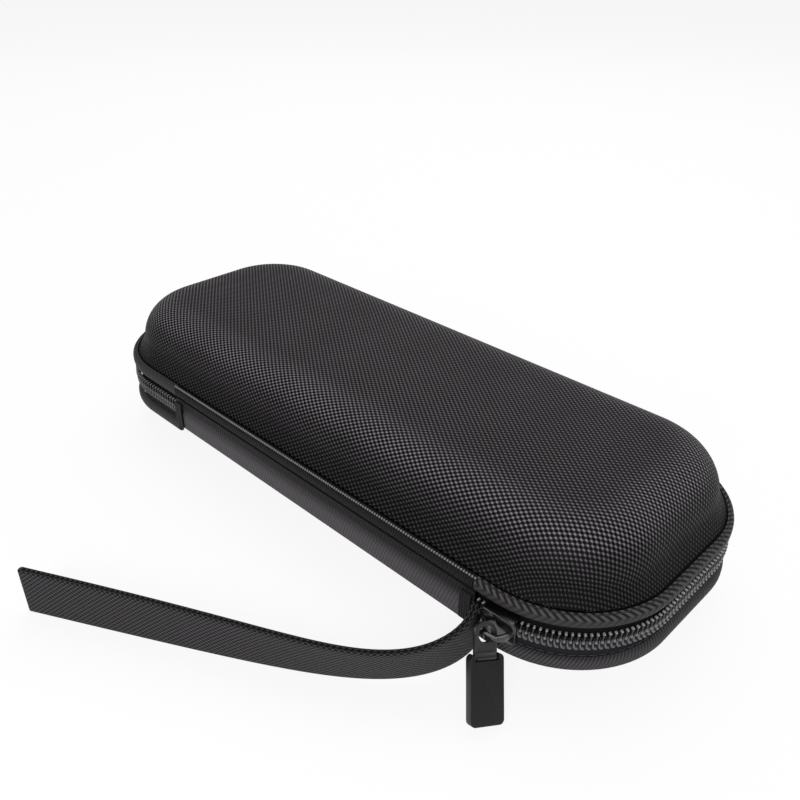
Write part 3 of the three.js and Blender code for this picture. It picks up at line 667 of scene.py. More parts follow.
def chevron_cloth(name, colour, fade_from, fade_to):
    """A herringbone, bold above its middle line and pressed flat below and at one end."""
    finish = Finish(name)
    u, v = finish.surface_place()
    ribs = finish.wave((u + abs(v - CHEVRON_MIDDLE) * CHEVRON_SLOPE) / CHEVRON_PITCH)
    above = finish.ramp(v, CHEVRON_MIDDLE - PRESSED_BELOW, CHEVRON_MIDDLE + BOLD_ABOVE)
    fade = finish.ramp(u, fade_from, fade_to)
    bold = between(above, 0.25, 1) * between(fade, 1, 0.1)
    tint = finish.shades(colour, between(bold, PRESSED_SHARE, ribs), dark=0.06, light=2.2)
    return finish.done(
        tint, roughness=0.6, specular=0.14, height=ribs * bold, depth=CHEVRON_BUMP)


DOT_ALONG, DOT_ACROSS, WEBBING_BUMP = in_mm(1.4, 1.24, 0.12)
EDGE_WITHIN, EDGE_BEYOND = in_mm(0.1, 0.4)


def webbing_cloth(name, colour, width, thickness):
    """Flat webbing: small raised threads in staggered rows, and tight darker edges."""
    finish = Finish(name)
    threads = finish.staggered(DOT_ALONG, DOT_ACROSS, gap=-0.7, crest=0.9)
    _, v = finish.surface_place()
    period = width + thickness
    from_edge = finish.math("PINGPONG", v - thickness / 2, period)
    near = finish.math("MINIMUM", from_edge, period - from_edge)
    away = finish.ramp(near, thickness / 2 - EDGE_WITHIN, thickness / 2 + EDGE_BEYOND)
    raised = threads * between(away, 0.55, 1)
    tint = finish.shades(colour, raised, dark=0.02, light=2.6)
    return finish.done(tint, **WOVEN, height=raised, depth=WEBBING_BUMP)


TONE_PATCH, CLOTH_GRAIN, CLOTH_BUMP = in_mm(30, 0.5, 0.05)


def plain_cloth(name, colour, roughness, grain=CLOTH_GRAIN, depth=CLOTH_BUMP):
    """Smooth knit or coated cloth with a slight grain."""
    finish = Finish(name)
    tint = finish.shades(colour, finish.noise(TONE_PATCH, detail=2), dark=0.8, light=1.2)
    return finish.done(
        tint, roughness=roughness, specular=0.2,
        height=finish.noise(grain, detail=4), depth=depth)


HEM_RIB, LOOP_RIB, ELASTIC_THREAD, ELASTIC_BUMP = in_mm(1.3, 1.5, 0.5, 0.25)


def elastic_cloth(name, colour, pitch):
    """Elastic with ribs that run along it."""
    finish = Finish(name)
    u, v = finish.surface_place()
    ribs = finish.wave(v / pitch)
    fine = finish.wave(u / ELASTIC_THREAD)
    tint = finish.shades(
        colour, ribs * RIB_SHARE + fine * FINE_SHARE, dark=0.5, light=1.25)
    return finish.done(
        tint, roughness=0.7, specular=0.15, height=ribs + FINE_SHARE * fine, depth=ELASTIC_BUMP)


CRYSTAL_CELL, WRINKLE, WRINKLE_BUMP = in_mm(15, 9, 0.9)
CRYSTAL_SHARES = 0.1, 0.3
ARM_SHARE, BARB_SHARE, DOT_SHARE = 0.014, 0.01, 0.035
BARB_REACH_SHARE, TIP_FROM_SHARE, TIP_TO_SHARE, TIP_WIDTH_SHARE = 0.3, 0.5, 0.62, 0.35
ARM_PAIRS, BARB_TURN = 3, 0.9
PRINT_SHARE = 0.85


def gel_film():
    """Dark welded film with a scatter of small printed crystals and dots."""
    finish = Finish("gel_film")
    u, v = (place / CRYSTAL_CELL for place in finish.surface_place())
    colour, position = finish.node(
        "ShaderNodeTexVoronoi", {"voronoi_dimensions": "2D"},
        {"Vector": finish.node("ShaderNodeCombineXYZ", inputs={0: u, 1: v}),
         "Scale": 1.0, "Randomness": 0.75}, ("Color", "Position"))
    turn_chance, size_chance, _ = finish.parts(colour)
    middle_u, middle_v, _ = finish.parts(position)
    x, y = u - middle_u, v - middle_v
    reach = finish.distance(x, y)
    turn = finish.math("ARCTAN2", y, x) + turn_chance * FULL_TURN
    size = between(size_chance, *CRYSTAL_SHARES)

    def off_arm(shift):
        """How far the direction is from one of six arms, from 0 to 1."""
        return abs(finish.math("SINE", turn * ARM_PAIRS + shift))

    arms = (off_arm(0) * reach < ARM_SHARE) * (reach < size)
    barbs = (off_arm(BARB_TURN) * reach < BARB_SHARE) * (reach < size * BARB_REACH_SHARE)
    tips = (reach > size * TIP_FROM_SHARE) * (reach < size * TIP_TO_SHARE) * (
        off_arm(0) < TIP_WIDTH_SHARE)
    star = finish.larger(finish.larger(arms, barbs), finish.larger(tips, reach < DOT_SHARE))
    tint = finish.mix(star * PRINT_SHARE, colours().film, colours().crystal)
    return finish.done(
        tint, roughness=0.4, specular=0.3, coat=0.08,
        height=finish.noise(WRINKLE, detail=3), depth=WRINKLE_BUMP, strength=0.6)


SCUFF, SCUFF_BUMP, MOULD_GRAIN, MOULD_BUMP = in_mm(0.9, 0.01, 0.25, 0.012)
SCUFF_ROUGHNESS = 0.12


def painted_metal(name, colour, roughness):
    """Cast metal under glossy dark paint."""
    finish = Finish(name)
    scuffs = finish.noise(SCUFF, detail=4)
    return finish.done(
        colour, roughness=roughness + SCUFF_ROUGHNESS * scuffs, specular=0.85,
        height=scuffs, depth=SCUFF_BUMP)


def moulded(name, colour, roughness):
    """Soft plastic or thick thread with a slight grain."""
    finish = Finish(name)
    return finish.done(
        colour, roughness=roughness, specular=0.3,
        height=finish.noise(MOULD_GRAIN, detail=3), depth=MOULD_BUMP)


FEET_FROM, FEET_FULL, HEAD_HIGHLIGHT_FROM, HEAD_HIGHLIGHT_FULL = in_mm(1.85, 2.1, 0.5, 0.2)
LEG_HIGHLIGHT_FROM, LEG_HIGHLIGHT_FULL, FAR_END_SHADE_FROM, FAR_END_SHADE_FULL = in_mm(-0.3, -0.8, -40, -90)
FEET_LIGHT, HEAD_HIGHLIGHT_SHARE, LEG_HIGHLIGHT_SHARE, FAR_END_SHADE_SHARE = 0.65, 0.4, 0.25, 0.3


def tooth_plastic(name, coil, side):
    """Plastic of the chain: the lid's feet lightened as thread and partly as painted highlight,
    painted highlights on the lid's heads and the base's legs, and painted shade towards the far end.
    """
    finish = Finish(name)
    x, _, z = finish.parts(finish.object_place())
    rise = z - coil
    if side > 0:
        # The lid's heads carry a painted highlight.
        light = finish.larger(
            # The lid's feet are lightened towards the thread colour: partly light thread, partly a
            # painted highlight on the bead row.
            FEET_LIGHT * finish.ramp(rise, FEET_FROM, FEET_FULL),
            HEAD_HIGHLIGHT_SHARE * finish.ramp(rise, HEAD_HIGHLIGHT_FROM, HEAD_HIGHLIGHT_FULL))
    else:
        # Painted highlight on the lower legs of the base's chain.
        light = LEG_HIGHLIGHT_SHARE * finish.ramp(rise, LEG_HIGHLIGHT_FROM, LEG_HIGHLIGHT_FULL)
    # Painted shade: the chain's colour darkens towards its far left end.
    far_end_shade = between(finish.ramp(x, FAR_END_SHADE_FROM, FAR_END_SHADE_FULL), 1, FAR_END_SHADE_SHARE)
    tint = finish.mix(light * far_end_shade, colours().teeth, colours().thread)
    return finish.done(tint, roughness=0.24, specular=0.5)


def items_along_line():
    """Sets a copy of an item at every pitch along a line, turned to follow it."""
    tree = GeometryTree("Items along a line", {
        "Item": "NodeSocketObject", "Pitch": "NodeSocketFloat"})
    line = tree.node("GeometryNodeMeshToCurve", inputs={"Mesh": tree.given("Geometry")})
    marks = tree.node(
        "GeometryNodeResampleCurve", {"mode": "LENGTH"},
        {"Curve": line, "Length": tree.given("Pitch")})
    turn = tree.node(
        "FunctionNodeAlignRotationToVector", {"axis": "X", "pivot_axis": "AUTO"},
        {"Vector": tree.node("GeometryNodeInputTangent")})
    tree.close(tree.copies(marks, turn))
    return tree


CAPSULE_SIDES = 6
CAPSULE_SHARES = ((-0.5, 0.3), (-0.38, 0.85), (0, 1), (0.38, 0.85), (0.5, 0.3))


def capsule(name, length, thickness):
    """A short rounded rod that lies along X: one stitch or bead."""
    rings = []
    for along_share, girth_share in CAPSULE_SHARES:
        radius = thickness / 2 * girth_share
        rings.append([
            Vector((length * along_share, radius * math.cos(angle), radius * math.sin(angle)))
            for angle in evenly(0, FULL_TURN, CAPSULE_SIDES)[:-1]])
    return skin(name, rings, smooth=80)


def stitches(name, line, pitch, cover_share, thickness, colour):
    """A row of stitches along a line, each as long as its share of the pitch."""
    stitch = capsule(name + "_stitch", pitch * cover_share, thickness)
    material = moulded(name + "_thread", colour, roughness=0.55)
    mesh = bpy.data.meshes.new(name + "_line")
    mesh.from_pydata(
        [tuple(point) for point in line], [(i, i + 1) for i in range(len(line) - 1)], [])
    row = items_along_line().run(name, mesh, {"Item": stitch, "Pitch": pitch, "Finish": material})
    bpy.data.objects.remove(stitch)
    return row, material


class CASE_OT_shells(bpy.types.Operator):
    """Make the moulded halves in their woven cloth"""
    bl_idname = "case.shells"
    bl_label = "Shells"

    def execute(self, context):
        sizes, outline = plan_of(context)
        cloth = shell_cloth(sizes)
        for body in SIDES:
            half = Half(sizes, body)
            profile = [*reversed(half.profile(0)), *half.profile(sizes.wall)]
            piece = stack(body + "_shell_cloth", outline, half, profile)
            publish(piece, cloth, body, "shell_fabric", body + "_shell")
        return {"FINISHED"}


LIP = 0.5 * MM


class CASE_OT_linings(bpy.types.Operator):
    """Make the smooth linings with their turned edges"""
    bl_idname = "case.linings"
    bl_label = "Linings"

    def execute(self, context):
        sizes, outline = plan_of(context)
        cloth = plain_cloth("lining_cloth", colours().lining, roughness=0.62)
        outside = sizes.wall + sizes.clearance
        top = sizes.rim_rise - sizes.clearance
        front, back = sizes.rim_inset + sizes.clearance, sizes.rim_inset + outside
        edge = [(back, top), (front, top), (front, top - LIP), (back + sizes.lining, top - LIP)]
        for body in SIDES:
            half = Half(sizes, body)
            outer = half.profile(outside)[1:]
            inner = half.profile(outside + sizes.lining)[1:]
            piece = stack(body + "_liner_cloth", outline, half, [*reversed(outer), *edge, *inner])
            publish(piece, cloth, body, "lining", body + "_liner")
        return {"FINISHED"}


ROLL_STEPS = 9
ROLL_POWER, FOLD_POWER = 0.75, 0.4


def rounded_section(back, reach, low, height, power=ROLL_POWER):
    """A soft rolled edge: flat at its back, full towards the outside, square at low powers."""
    points = [(back, low)]
    for angle in evenly(-QUARTER_TURN, QUARTER_TURN, ROLL_STEPS):
        bulge = abs(math.cos(angle)) ** power
        lift = math.copysign(abs(math.sin(angle)) ** power, math.sin(angle))
        points.append((back - reach * bulge, low + height * (1 + lift) / 2))
    return [*points, (back, low + height)]


BINDING_INSET, BINDING_THICKNESS, SHADED_RIB, CHEVRON_FADE = in_mm(0.3, 1.7, 0.84, 30)
LID_BINDING_LOW, LID_BINDING_HEIGHT = in_mm(4, 3.6)
BASE_BINDING_LOW, BASE_BINDING_HEIGHT = in_mm(-9.2, 3.2)


class CASE_OT_bindings(bpy.types.Operator):
    """Make the ribbed bindings of both halves"""
    bl_idname = "case.bindings"
    bl_label = "Bindings"

    def execute(self, context):
        sizes, outline = plan_of(context)
        tint = colours().binding
        left_end = 3 * outline.straight + 3 * outline.arc + outline.end
        chevrons = chevron_cloth("binding_chevrons", tint, left_end - CHEVRON_FADE, left_end)
        # Painted shade: the spine side of the lid's binding is a copy of the binding colour at a
        # quarter of its strength.
        shaded = ribbed_cloth("binding_shaded", tint, SHADED_RIB, gain=0.25, slant=0.6)
        ribs = ribbed_cloth(
            "binding_ribs", tint, sizes.rib_pitch, gain=1.7, slant=-0.7, contrast=0.6)
        lid, base = (
            rounded_section(
                BINDING_INSET + BINDING_THICKNESS, BINDING_THICKNESS, outline.coil + low, height)
            for low, height in ((LID_BINDING_LOW, LID_BINDING_HEIGHT),
                                (BASE_BINDING_LOW, BASE_BINDING_HEIGHT)))
        gap = sizes.clearance
        for name, body, cloth, section, start, end in (
                ("lid_binding_zip_side", "lid", chevrons, lid,
                 outline.spine_end, outline.whole + outline.spine_start),
                ("lid_binding_spine_side", "lid", shaded, lid,
                 outline.spine_start + gap, outline.spine_end - gap),
                ("base_binding_roll", "base", ribs, base, outline.zip_start, outline.zip_end)):
            piece = sweep(name, outline, start, end, section)
            publish(piece, cloth, body, "binding", body + "_binding")
        return {"FINISHED"}


TAPE_FRONT, TAPE_BACK = in_mm(2.3, 3.06)
TAPE_FROM_COIL, LID_TAPE_TOP, BASE_TAPE_LOW = in_mm(0.75, 7, -8.8)
TWILL_PITCH, TWILL_BUMP = in_mm(0.62, 0.08)


class CASE_OT_zip_tapes(bpy.types.Operator):
    """Make the twill tapes of the zip"""
    bl_idname = "case.zip_tapes"
    bl_label = "Zip tapes"

    def execute(self, context):
        outline = plan_of(context)[1]
        # Painted light: the two tapes are lit and shaded copies of one tape colour, the base's
        # painted three times lighter than the lid's, which lies in shade under the binding.
        for body, low, high, gain in (("lid", TAPE_FROM_COIL, LID_TAPE_TOP, 1),
                                      ("base", BASE_TAPE_LOW, -TAPE_FROM_COIL, 3)):
            twill = ribbed_cloth(
                body + "_tape_twill", colours().tape, TWILL_PITCH, gain=gain, slant=1.0,
                depth=TWILL_BUMP)
            low, high = outline.coil + low, outline.coil + high
            section = [
                (TAPE_FRONT, low), (TAPE_BACK, low), (TAPE_BACK, high), (TAPE_FRONT, high)]
            name = "zip_tape_" + body
            piece = sweep(name + "_twill", outline, outline.zip_start, outline.zip_end, section)
            publish(piece, twill, body, "zip_tape", name)
        return {"FINISHED"}


# One loop of the chain, from its head down its leg to its foot: place along the tape, rise from
# the zip, radius of the loop and distance inwards.
TOOTH_HEAD = [in_mm(*row) for row in (
    (0, -0.52, 0.14, 0.8), (0, -0.44, 0.29, 0.68), (0, -0.28, 0.37, 0.58),
    (0, -0.05, 0.37, 0.56), (0.02, 0.2, 0.28, 0.66), (0.07, 0.8, 0.24, 0.8),
    (0.13, 1.4, 0.25, 0.8))]
TOOTH_FOOT = [in_mm(*row) for row in (
    (0.26, 1.8, 0.27, 0.76), (0.5, 2.03, 0.29, 0.72), (0.95, 2.08, 0.29, 0.75),
    (1.15, 2.08, 0.14, 0.9))]
TOOTH_SINK, TOOTH_BACK, FOOT_BACK = in_mm(0.2, 1.85, 1.3)
TOOTH_STEPS = 6
FOOT_SHARES = {"lid": 0.45, "base": 1.0}
PARTED_TIP, MESHED_TIP, CHAIN_END = in_mm(0.6, -0.55, 1)


def tooth_item(name, body, tip):
    """One loop of the chain: a head in the middle, a leg, and a foot that turns along the tape."""
    path = TOOTH_HEAD + [(x * FOOT_SHARES[body], *others) for x, *others in TOOTH_FOOT]
    low, high = path[0][1], path[-1][1]
    rings = []
    for index, (x, z, radius, out) in enumerate(path):
        before, after = neighbours(path, index)
        along = Vector((after[0] - before[0], after[1] - before[1])).normalized()
        level = tip + (z - low) * (high - tip) / (high - low)
        ring = []
        for angle in evenly(0, math.pi, TOOTH_STEPS):
            aside = -radius * math.cos(angle)
            ring.append((x + along.y * aside,
                         out + radius * (1 - math.sin(angle)) - TOOTH_SINK,
                         level - along.x * aside))
        back = TOOTH_BACK if z < TOOTH_FOOT[0][1] else FOOT_BACK
        ring += [(ring[-1][0], back, ring[-1][2]), (ring[0][0], back, ring[0][2])]
        rings.append([Vector((x, y, SIDES[body] * z)) for x, y, z in ring])
    return skin(name, rings, smooth=70)


def teeth_on_marks():
    """Sets a tooth on every point, turned about Z by the point's own heading."""
    tree = GeometryTree("Teeth on marks", {"Item": "NodeSocketObject"})
    heading = tree.node(
        "GeometryNodeInputNamedAttribute", {"data_type": "FLOAT"}, {"Name": "heading"})
    turn = tree.node("ShaderNodeCombineXYZ", inputs={2: heading})
    tree.close(tree.copies(tree.given("Geometry"), turn))
    return tree


def tooth_row(name, line, item, material):
    mesh = bpy.data.meshes.new(name + "_marks")
    mesh.from_pydata([tuple(point) for point in line], [], [])
    headings = mesh.attributes.new("heading", "FLOAT", "POINT")
    for index in range(len(line)):
        before, after = neighbours(line, index)
        headings.data[index].value = math.atan2(after.y - before.y, after.x - before.x)
    return teeth_on_marks().run(name, mesh, {"Item": item, "Finish": material})


class CASE_OT_zip_chain(bpy.types.Operator):
    """Make both toothed sides of the zip chain"""
    bl_idname = "case.zip_chain"
    bl_label = "Zip chain"

    def execute(self, context):
        sizes, outline = plan_of(context)
        pitch = sizes.tooth_pitch
        for body, side in SIDES.items():
            name = "zip_coil_" + body
            plastic = tooth_plastic(name + "_plastic", outline.coil, side)
            shift = pitch / 2 if side > 0 else 0.0
            for label, start, end, tip in (
                    ("parted", outline.zip_start + shift, outline.meshes - CHAIN_END, PARTED_TIP),
                    ("meshed", outline.meshes + shift, outline.zip_end - CHAIN_END + shift,
                     MESHED_TIP)):
                item = tooth_item(name + "_item", body, tip)
                stop = start + math.floor((end - start) / pitch) * pitch
                line = outline.line(start, stop, 0, outline.coil, pitch)
                row = tooth_row(name + "_" + label, line, item, plastic)
                bpy.data.objects.remove(item)
                publish(row, plastic, body, "zip_coil", name)
        return {"FINISHED"}


PANEL_FACE, PANEL_BACK, PANEL_FOOT = in_mm(0.5, 1.5, 3.65)
PANEL_TOP, PANEL_LOW, PANEL_HEM = in_mm(3.85, -7.8, 1)
PANEL_ROWS, BACK_ROWS = 28, 12
CREASE_WIDTH, CREASE_DEPTH, PANEL_BULGE = in_mm(0.7, 0.4, 0.25)
TURNED_SHARE = 0.86
PANEL_LIT = in_mm(2.5, 7.5, 13)
FOLD_FRONT, FOLD_BACK, FOLD_WIDTH = in_mm(-0.4, 0.2, 3.4)
FOLD_LOW, FOLD_HEIGHT, FOLD_RIB, FOLD_STEP = in_mm(-5.8, 8.7, 0.7, 0.5)
FLAP_OFF_WALL, FLAP_THICKNESS, FLAP_CORNER = in_mm(0.5, 0.8, 5)
FLAP_LOW, FLAP_HIGH, FLAP_FROM_CORNER = in_mm(-5.5, 6.4, 10.5)
FLAP_COLUMNS, FLAP_ROWS = 60, 20
LEATHER_GRAIN, LEATHER_BUMP = in_mm(1.4, 0.1)


class CASE_OT_spine(bpy.types.Operator):
    """Make the ribbed spine, its end folds and the smooth flap inside"""
    bl_idname = "case.spine"
    bl_label = "Spine"

    def execute(self, context):
        sizes, outline = plan_of(context)
        for piece in (self.panel(sizes, outline), *self.end_folds(outline),
                      self.flap(sizes, outline)):
            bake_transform(piece)
        return {"FINISHED"}

    def panel(self, sizes, outline):
        """A panel that is creased at the zip and turned in at its foot."""
        top, low = outline.coil + PANEL_TOP, outline.coil + PANEL_LOW
        section = [(PANEL_BACK, top)]
        for share in evenly(0, 1, PANEL_ROWS):
            rise = PANEL_TOP + (PANEL_LOW - PANEL_TOP) * share
            crease = math.exp(-((rise / CREASE_WIDTH) ** 2)) * CREASE_DEPTH
            bulge = math.sin(math.pi * share) * PANEL_BULGE
            turned = (max(TURNED_SHARE, share) - TURNED_SHARE) / (1 - TURNED_SHARE)
            inset = PANEL_FACE + crease - bulge + (PANEL_FOOT - PANEL_FACE) * turned ** 2
            section.append((inset, outline.coil + rise))
        section.append((PANEL_FOOT, low + PANEL_HEM))
        back = evenly(low + 2 * PANEL_HEM, top, BACK_ROWS)[:-1]
        section += [(PANEL_BACK, level) for level in back]
        piece = sweep(
            "spine_ribbed_panel", outline, outline.spine_start, outline.spine_end, section)
        # Painted shade: the panel is darkened near its top under the binding and on its turned-in
        # foot and back, and fully lit between.
        cloth = ribbed_cloth(
            "spine_ribs", colours().binding, sizes.rib_pitch, gain=2.7, slant=0.35,
            contrast=0.35, lit_part=PANEL_LIT)
        return assign(dress(piece, cloth), "spine_nylon", "spine_panel")

    def end_folds(self, outline):
        """The folded strips that close both ends of the spine."""
        cloth = ribbed_cloth("fold_ribs", colours().binding, FOLD_RIB, gain=0.5)
        section = rounded_section(
            FOLD_BACK, FOLD_BACK - FOLD_FRONT, outline.coil + FOLD_LOW, FOLD_HEIGHT, FOLD_POWER)
        for name, start in (("spine_fold_right", outline.spine_end - FOLD_WIDTH),
                            ("spine_fold_left", outline.spine_start)):
            piece = sweep(
                name + "_strip", outline, start, start + FOLD_WIDTH, section, FOLD_STEP)
            yield assign(dress(piece, cloth), "binding", name)

    def flap(self, sizes, outline):
        """The smooth flap, with rounded corners, that lies over the spine inside."""
        half = Half(sizes, "base")
        y = FLAP_OFF_WALL - sizes.width / 2 + half.inset_at(half.inside, sizes.rim_rise)
        low, high = outline.coil + FLAP_LOW, outline.coil + FLAP_HIGH
        reach = outline.straight - FLAP_FROM_CORNER
        rings = []
        for z in evenly(low, high, FLAP_ROWS):
            into_corner = max(FLAP_CORNER - min(z - low, high - z), 0)
            cut = FLAP_CORNER - math.sqrt(max(FLAP_CORNER ** 2 - into_corner ** 2, 0))
            columns = evenly(cut - reach, reach - cut, FLAP_COLUMNS)
            rings.append([Vector((x, y + FLAP_THICKNESS, z)) for x in columns]
                         + [Vector((x, y, z)) for x in reversed(columns)])
        piece = skin("spine_inner_flap", rings, lambda i, j: (j * MM, i * MM), smooth=50)
        leather = plain_cloth(
            "flap_leather", colours().leather, roughness=0.42, grain=LEATHER_GRAIN,
            depth=LEATHER_BUMP)
        return assign(dress(piece, leather), "spine_leather", "spine_flap")


POCKET_EDGE, STRAND, NET_TRIM = in_mm(-2, 0.22, 0.6)
NET_OFF_PACK, BORDER_WIDTH, BORDER_HALF_THICKNESS = in_mm(0.3, 2.2, 0.35)
HEM_OFF_PACK, HEM_FROM, HEM_TO, HEM_RADIUS = in_mm(0.6, -1.7, 7.3, 0.5)
HEM_ROWS, HEM_CORNER_STEPS = 40, 3


class CASE_OT_pockets(bpy.types.Operator):
    """Make the net pockets and their elastic hems"""
    bl_idname = "case.pockets"
    bl_label = "Pockets"

    def execute(self, context):
        sizes, outline = plan_of(context)
        thread = plain_cloth("net_thread", colours().net, roughness=0.6)
        elastic = elastic_cloth("hem_elastic", colours().elastic, HEM_RIB)
        for body in SIDES:
            half = Half(sizes, body)
            inset = half.inset_at(half.inside, half.pocket) + sizes.clearance
            level = half.level(half.pocket - NET_OFF_PACK)
            net = net_tree().run(
                body + "_net_strands", bpy.data.meshes.new(body + "_net_source"), {
                    "Length": outline.length, "Width": outline.width,
                    "Radius": outline.radius - inset, "Inset": inset, "Edge": POCKET_EDGE,
                    "Pitch": sizes.net_pitch, "Strand": STRAND, "Level": level,
                    "Finish": thread})
            publish(net, thread, body, "net", body + "_net_pocket")
            publish(self.border(body, outline, inset, level), thread, body, "net")
            hem = self.hem(body, outline, inset, half.level(half.pocket - HEM_OFF_PACK))
            publish(hem, elastic, body, "elastic", body + "_pocket_hem")
        return {"FINISHED"}

    def border(self, body, outline, inset, level):
        """A narrow tape that binds the net to the lining."""
        lines = []
        for drawn_in in (inset, inset + BORDER_WIDTH):
            y = outline.width / 2 - drawn_in
            ring = outline.ring(drawn_in, level)
            lines.append([
                Vector((POCKET_EDGE, y, level)),
                *[point for point in ring if point.x < POCKET_EDGE],
                Vector((POCKET_EDGE, -y, level))])
        thick = Vector((0, 0, BORDER_HALF_THICKNESS))
        rings = [[a - thick, b - thick, b + thick, a + thick] for a, b in zip(*lines)]
        return skin(body + "_net_border", rings, smooth=50)

    def hem(self, body, outline, inset, level):
        """A flat elastic band across the open edge of the pocket, with rounded edges."""
        half_width = outline.width / 2 - inset
        low, high = HEM_FROM + HEM_RADIUS, HEM_TO - HEM_RADIUS
        section = []
        for corner, x in enumerate((high, low, low, high)):
            for angle in evenly(corner * QUARTER_TURN, (corner + 1) * QUARTER_TURN, HEM_CORNER_STEPS):
                section.append((
                    x + HEM_RADIUS * math.cos(angle), HEM_RADIUS * math.sin(angle)))
        along = evenly(-half_width, half_width, HEM_ROWS)
        rings = [[Vector((x, y, level + z)) for x, z in section] for y in along]
        across = running_lengths(section, closed=True)
        return skin(
            body + "_hem_elastic", rings, lambda i, j: (along[i] + half_width, across[j]),
            smooth=50)


def net_tree():
    """A net of crossed strands, trimmed to a rounded pocket and to its open edge."""
    labels = ("Length", "Width", "Radius", "Inset", "Edge", "Pitch", "Strand", "Level")
    tree = GeometryTree(
        "Net in a rounded pocket", {label: "NodeSocketFloat" for label in labels})
    length, width, radius, inset, edge, pitch, strand, level = map(tree.given, labels)
    cells = tree.math("ROUND", length / pitch)
    sheet = tree.node("GeometryNodeMeshGrid", inputs={
        "Size X": length, "Size Y": length, "Vertices X": cells, "Vertices Y": cells})
    turned = tree.node("GeometryNodeTransform", inputs={
        "Geometry": sheet, "Rotation": (0, 0, QUARTER_TURN / 2)})
    x, y, _ = tree.parts(tree.node("GeometryNodeInputPosition"))
    reach = tree.distance_outside(
        x, y, length / 2 - inset - radius, width / 2 - inset - radius)
    kept = tree.node(
        "GeometryNodeDeleteGeometry", {"domain": "POINT", "mode": "ALL"},
        {"Geometry": turned, "Selection": tree.larger(reach > radius - NET_TRIM, x > edge)})
    rod = tree.node(
        "GeometryNodeCurvePrimitiveCircle", {"mode": "RADIUS"}, {"Resolution": 4, "Radius": strand})
    rods = tree.node("GeometryNodeCurveToMesh", inputs={
        "Curve": tree.node("GeometryNodeMeshToCurve", inputs={"Mesh": kept}),
        "Profile Curve": rod})
    height = tree.node("ShaderNodeCombineXYZ", inputs={2: level})
    tree.close(tree.node("GeometryNodeTransform", inputs={
        "Geometry": rods, "Translation": height}))
    return tree


PACK_OFF_ENDS, PACK_OFF_SIDES, PACK_CORNER, PACK_PLACE = in_mm(31, 23.2, 20, -3)
FLANGE, WELD, WELD_EDGE, PACK_DOME, PACK_MIDDLE = in_mm(5, 0.4, 0.3, 17, 1)
GROOVE_OUT, GROOVE, GROOVE_IN = in_mm(1.6, 1.2, 0.6)
WELD_EDGE_SHARE, GROOVE_SHARE = 0.4, 0.7
DOME_STEPS, PACK_RING_STEPS = 12, 16
DOME_OUT_POWER, DOME_UP_POWER = 1.15, 0.85


class CASE_OT_gel_packs(bpy.types.Operator):
    """Make the filled gel packs with their welded flanges"""
    bl_idname = "case.gel_packs"
    bl_label = "Gel packs"

    def execute(self, context):
        sizes, outline = plan_of(context)
        film = gel_film()
        size = (sizes.length - PACK_OFF_ENDS, sizes.width - PACK_OFF_SIDES, PACK_CORNER)
        swell = sizes.pack_thickness / 2
        upper = self.upper_side(size[1] / 2, swell)
        profile = [*[(inset, -rise) for inset, rise in reversed(upper)], *upper]
        for body in SIDES:
            half = Half(sizes, body)
            middle = half.level(half.seat - swell)
            rings = [outline.ring(inset, middle + rise, PACK_RING_STEPS, PACK_PLACE, size)
                     for inset, rise in profile]
            piece = skin(body + "_gel_pack_pouch", rings, laid_out(rings), smooth=60)
            publish(piece, film, body + "_pack", "gel_pack", body + "_gel_pack")
        return {"FINISHED"}

    def upper_side(self, half_width, swell):
        """The upper film, from the welded edge over the groove to the crowned middle."""
        points = [
            (0, WELD_EDGE_SHARE * WELD), (WELD_EDGE, WELD), (FLANGE - GROOVE_OUT, WELD),
            (FLANGE - GROOVE, GROOVE_SHARE * WELD), (FLANGE - GROOVE_IN, WELD)]
        for angle in evenly(0, QUARTER_TURN, DOME_STEPS):
            points.append((
                FLANGE + PACK_DOME * (1 - math.cos(angle)) ** DOME_OUT_POWER,
                WELD + (swell - WELD) * math.sin(angle) ** DOME_UP_POWER))
        return [*points, (half_width - PACK_MIDDLE, swell)]


BAND_THICKNESS, BAND_WIDTH, BAND_PLACE, BAND_LIP = in_mm(0.9, 24, -33, 0.3)
BAND_OFF_POCKET, BAND_END, BAND_FLAT = in_mm(0.6, 33.6, 27)
PEN_RADIUS, PEN_PLACE, LOOP_BEND, LEAST_STEP = in_mm(8.4, 13, 1, 0.1)
BEND_STEPS, LOOP_STEPS, LIFT_ANGLE = 4, 24, 10
LIP_SHARE = 0.5


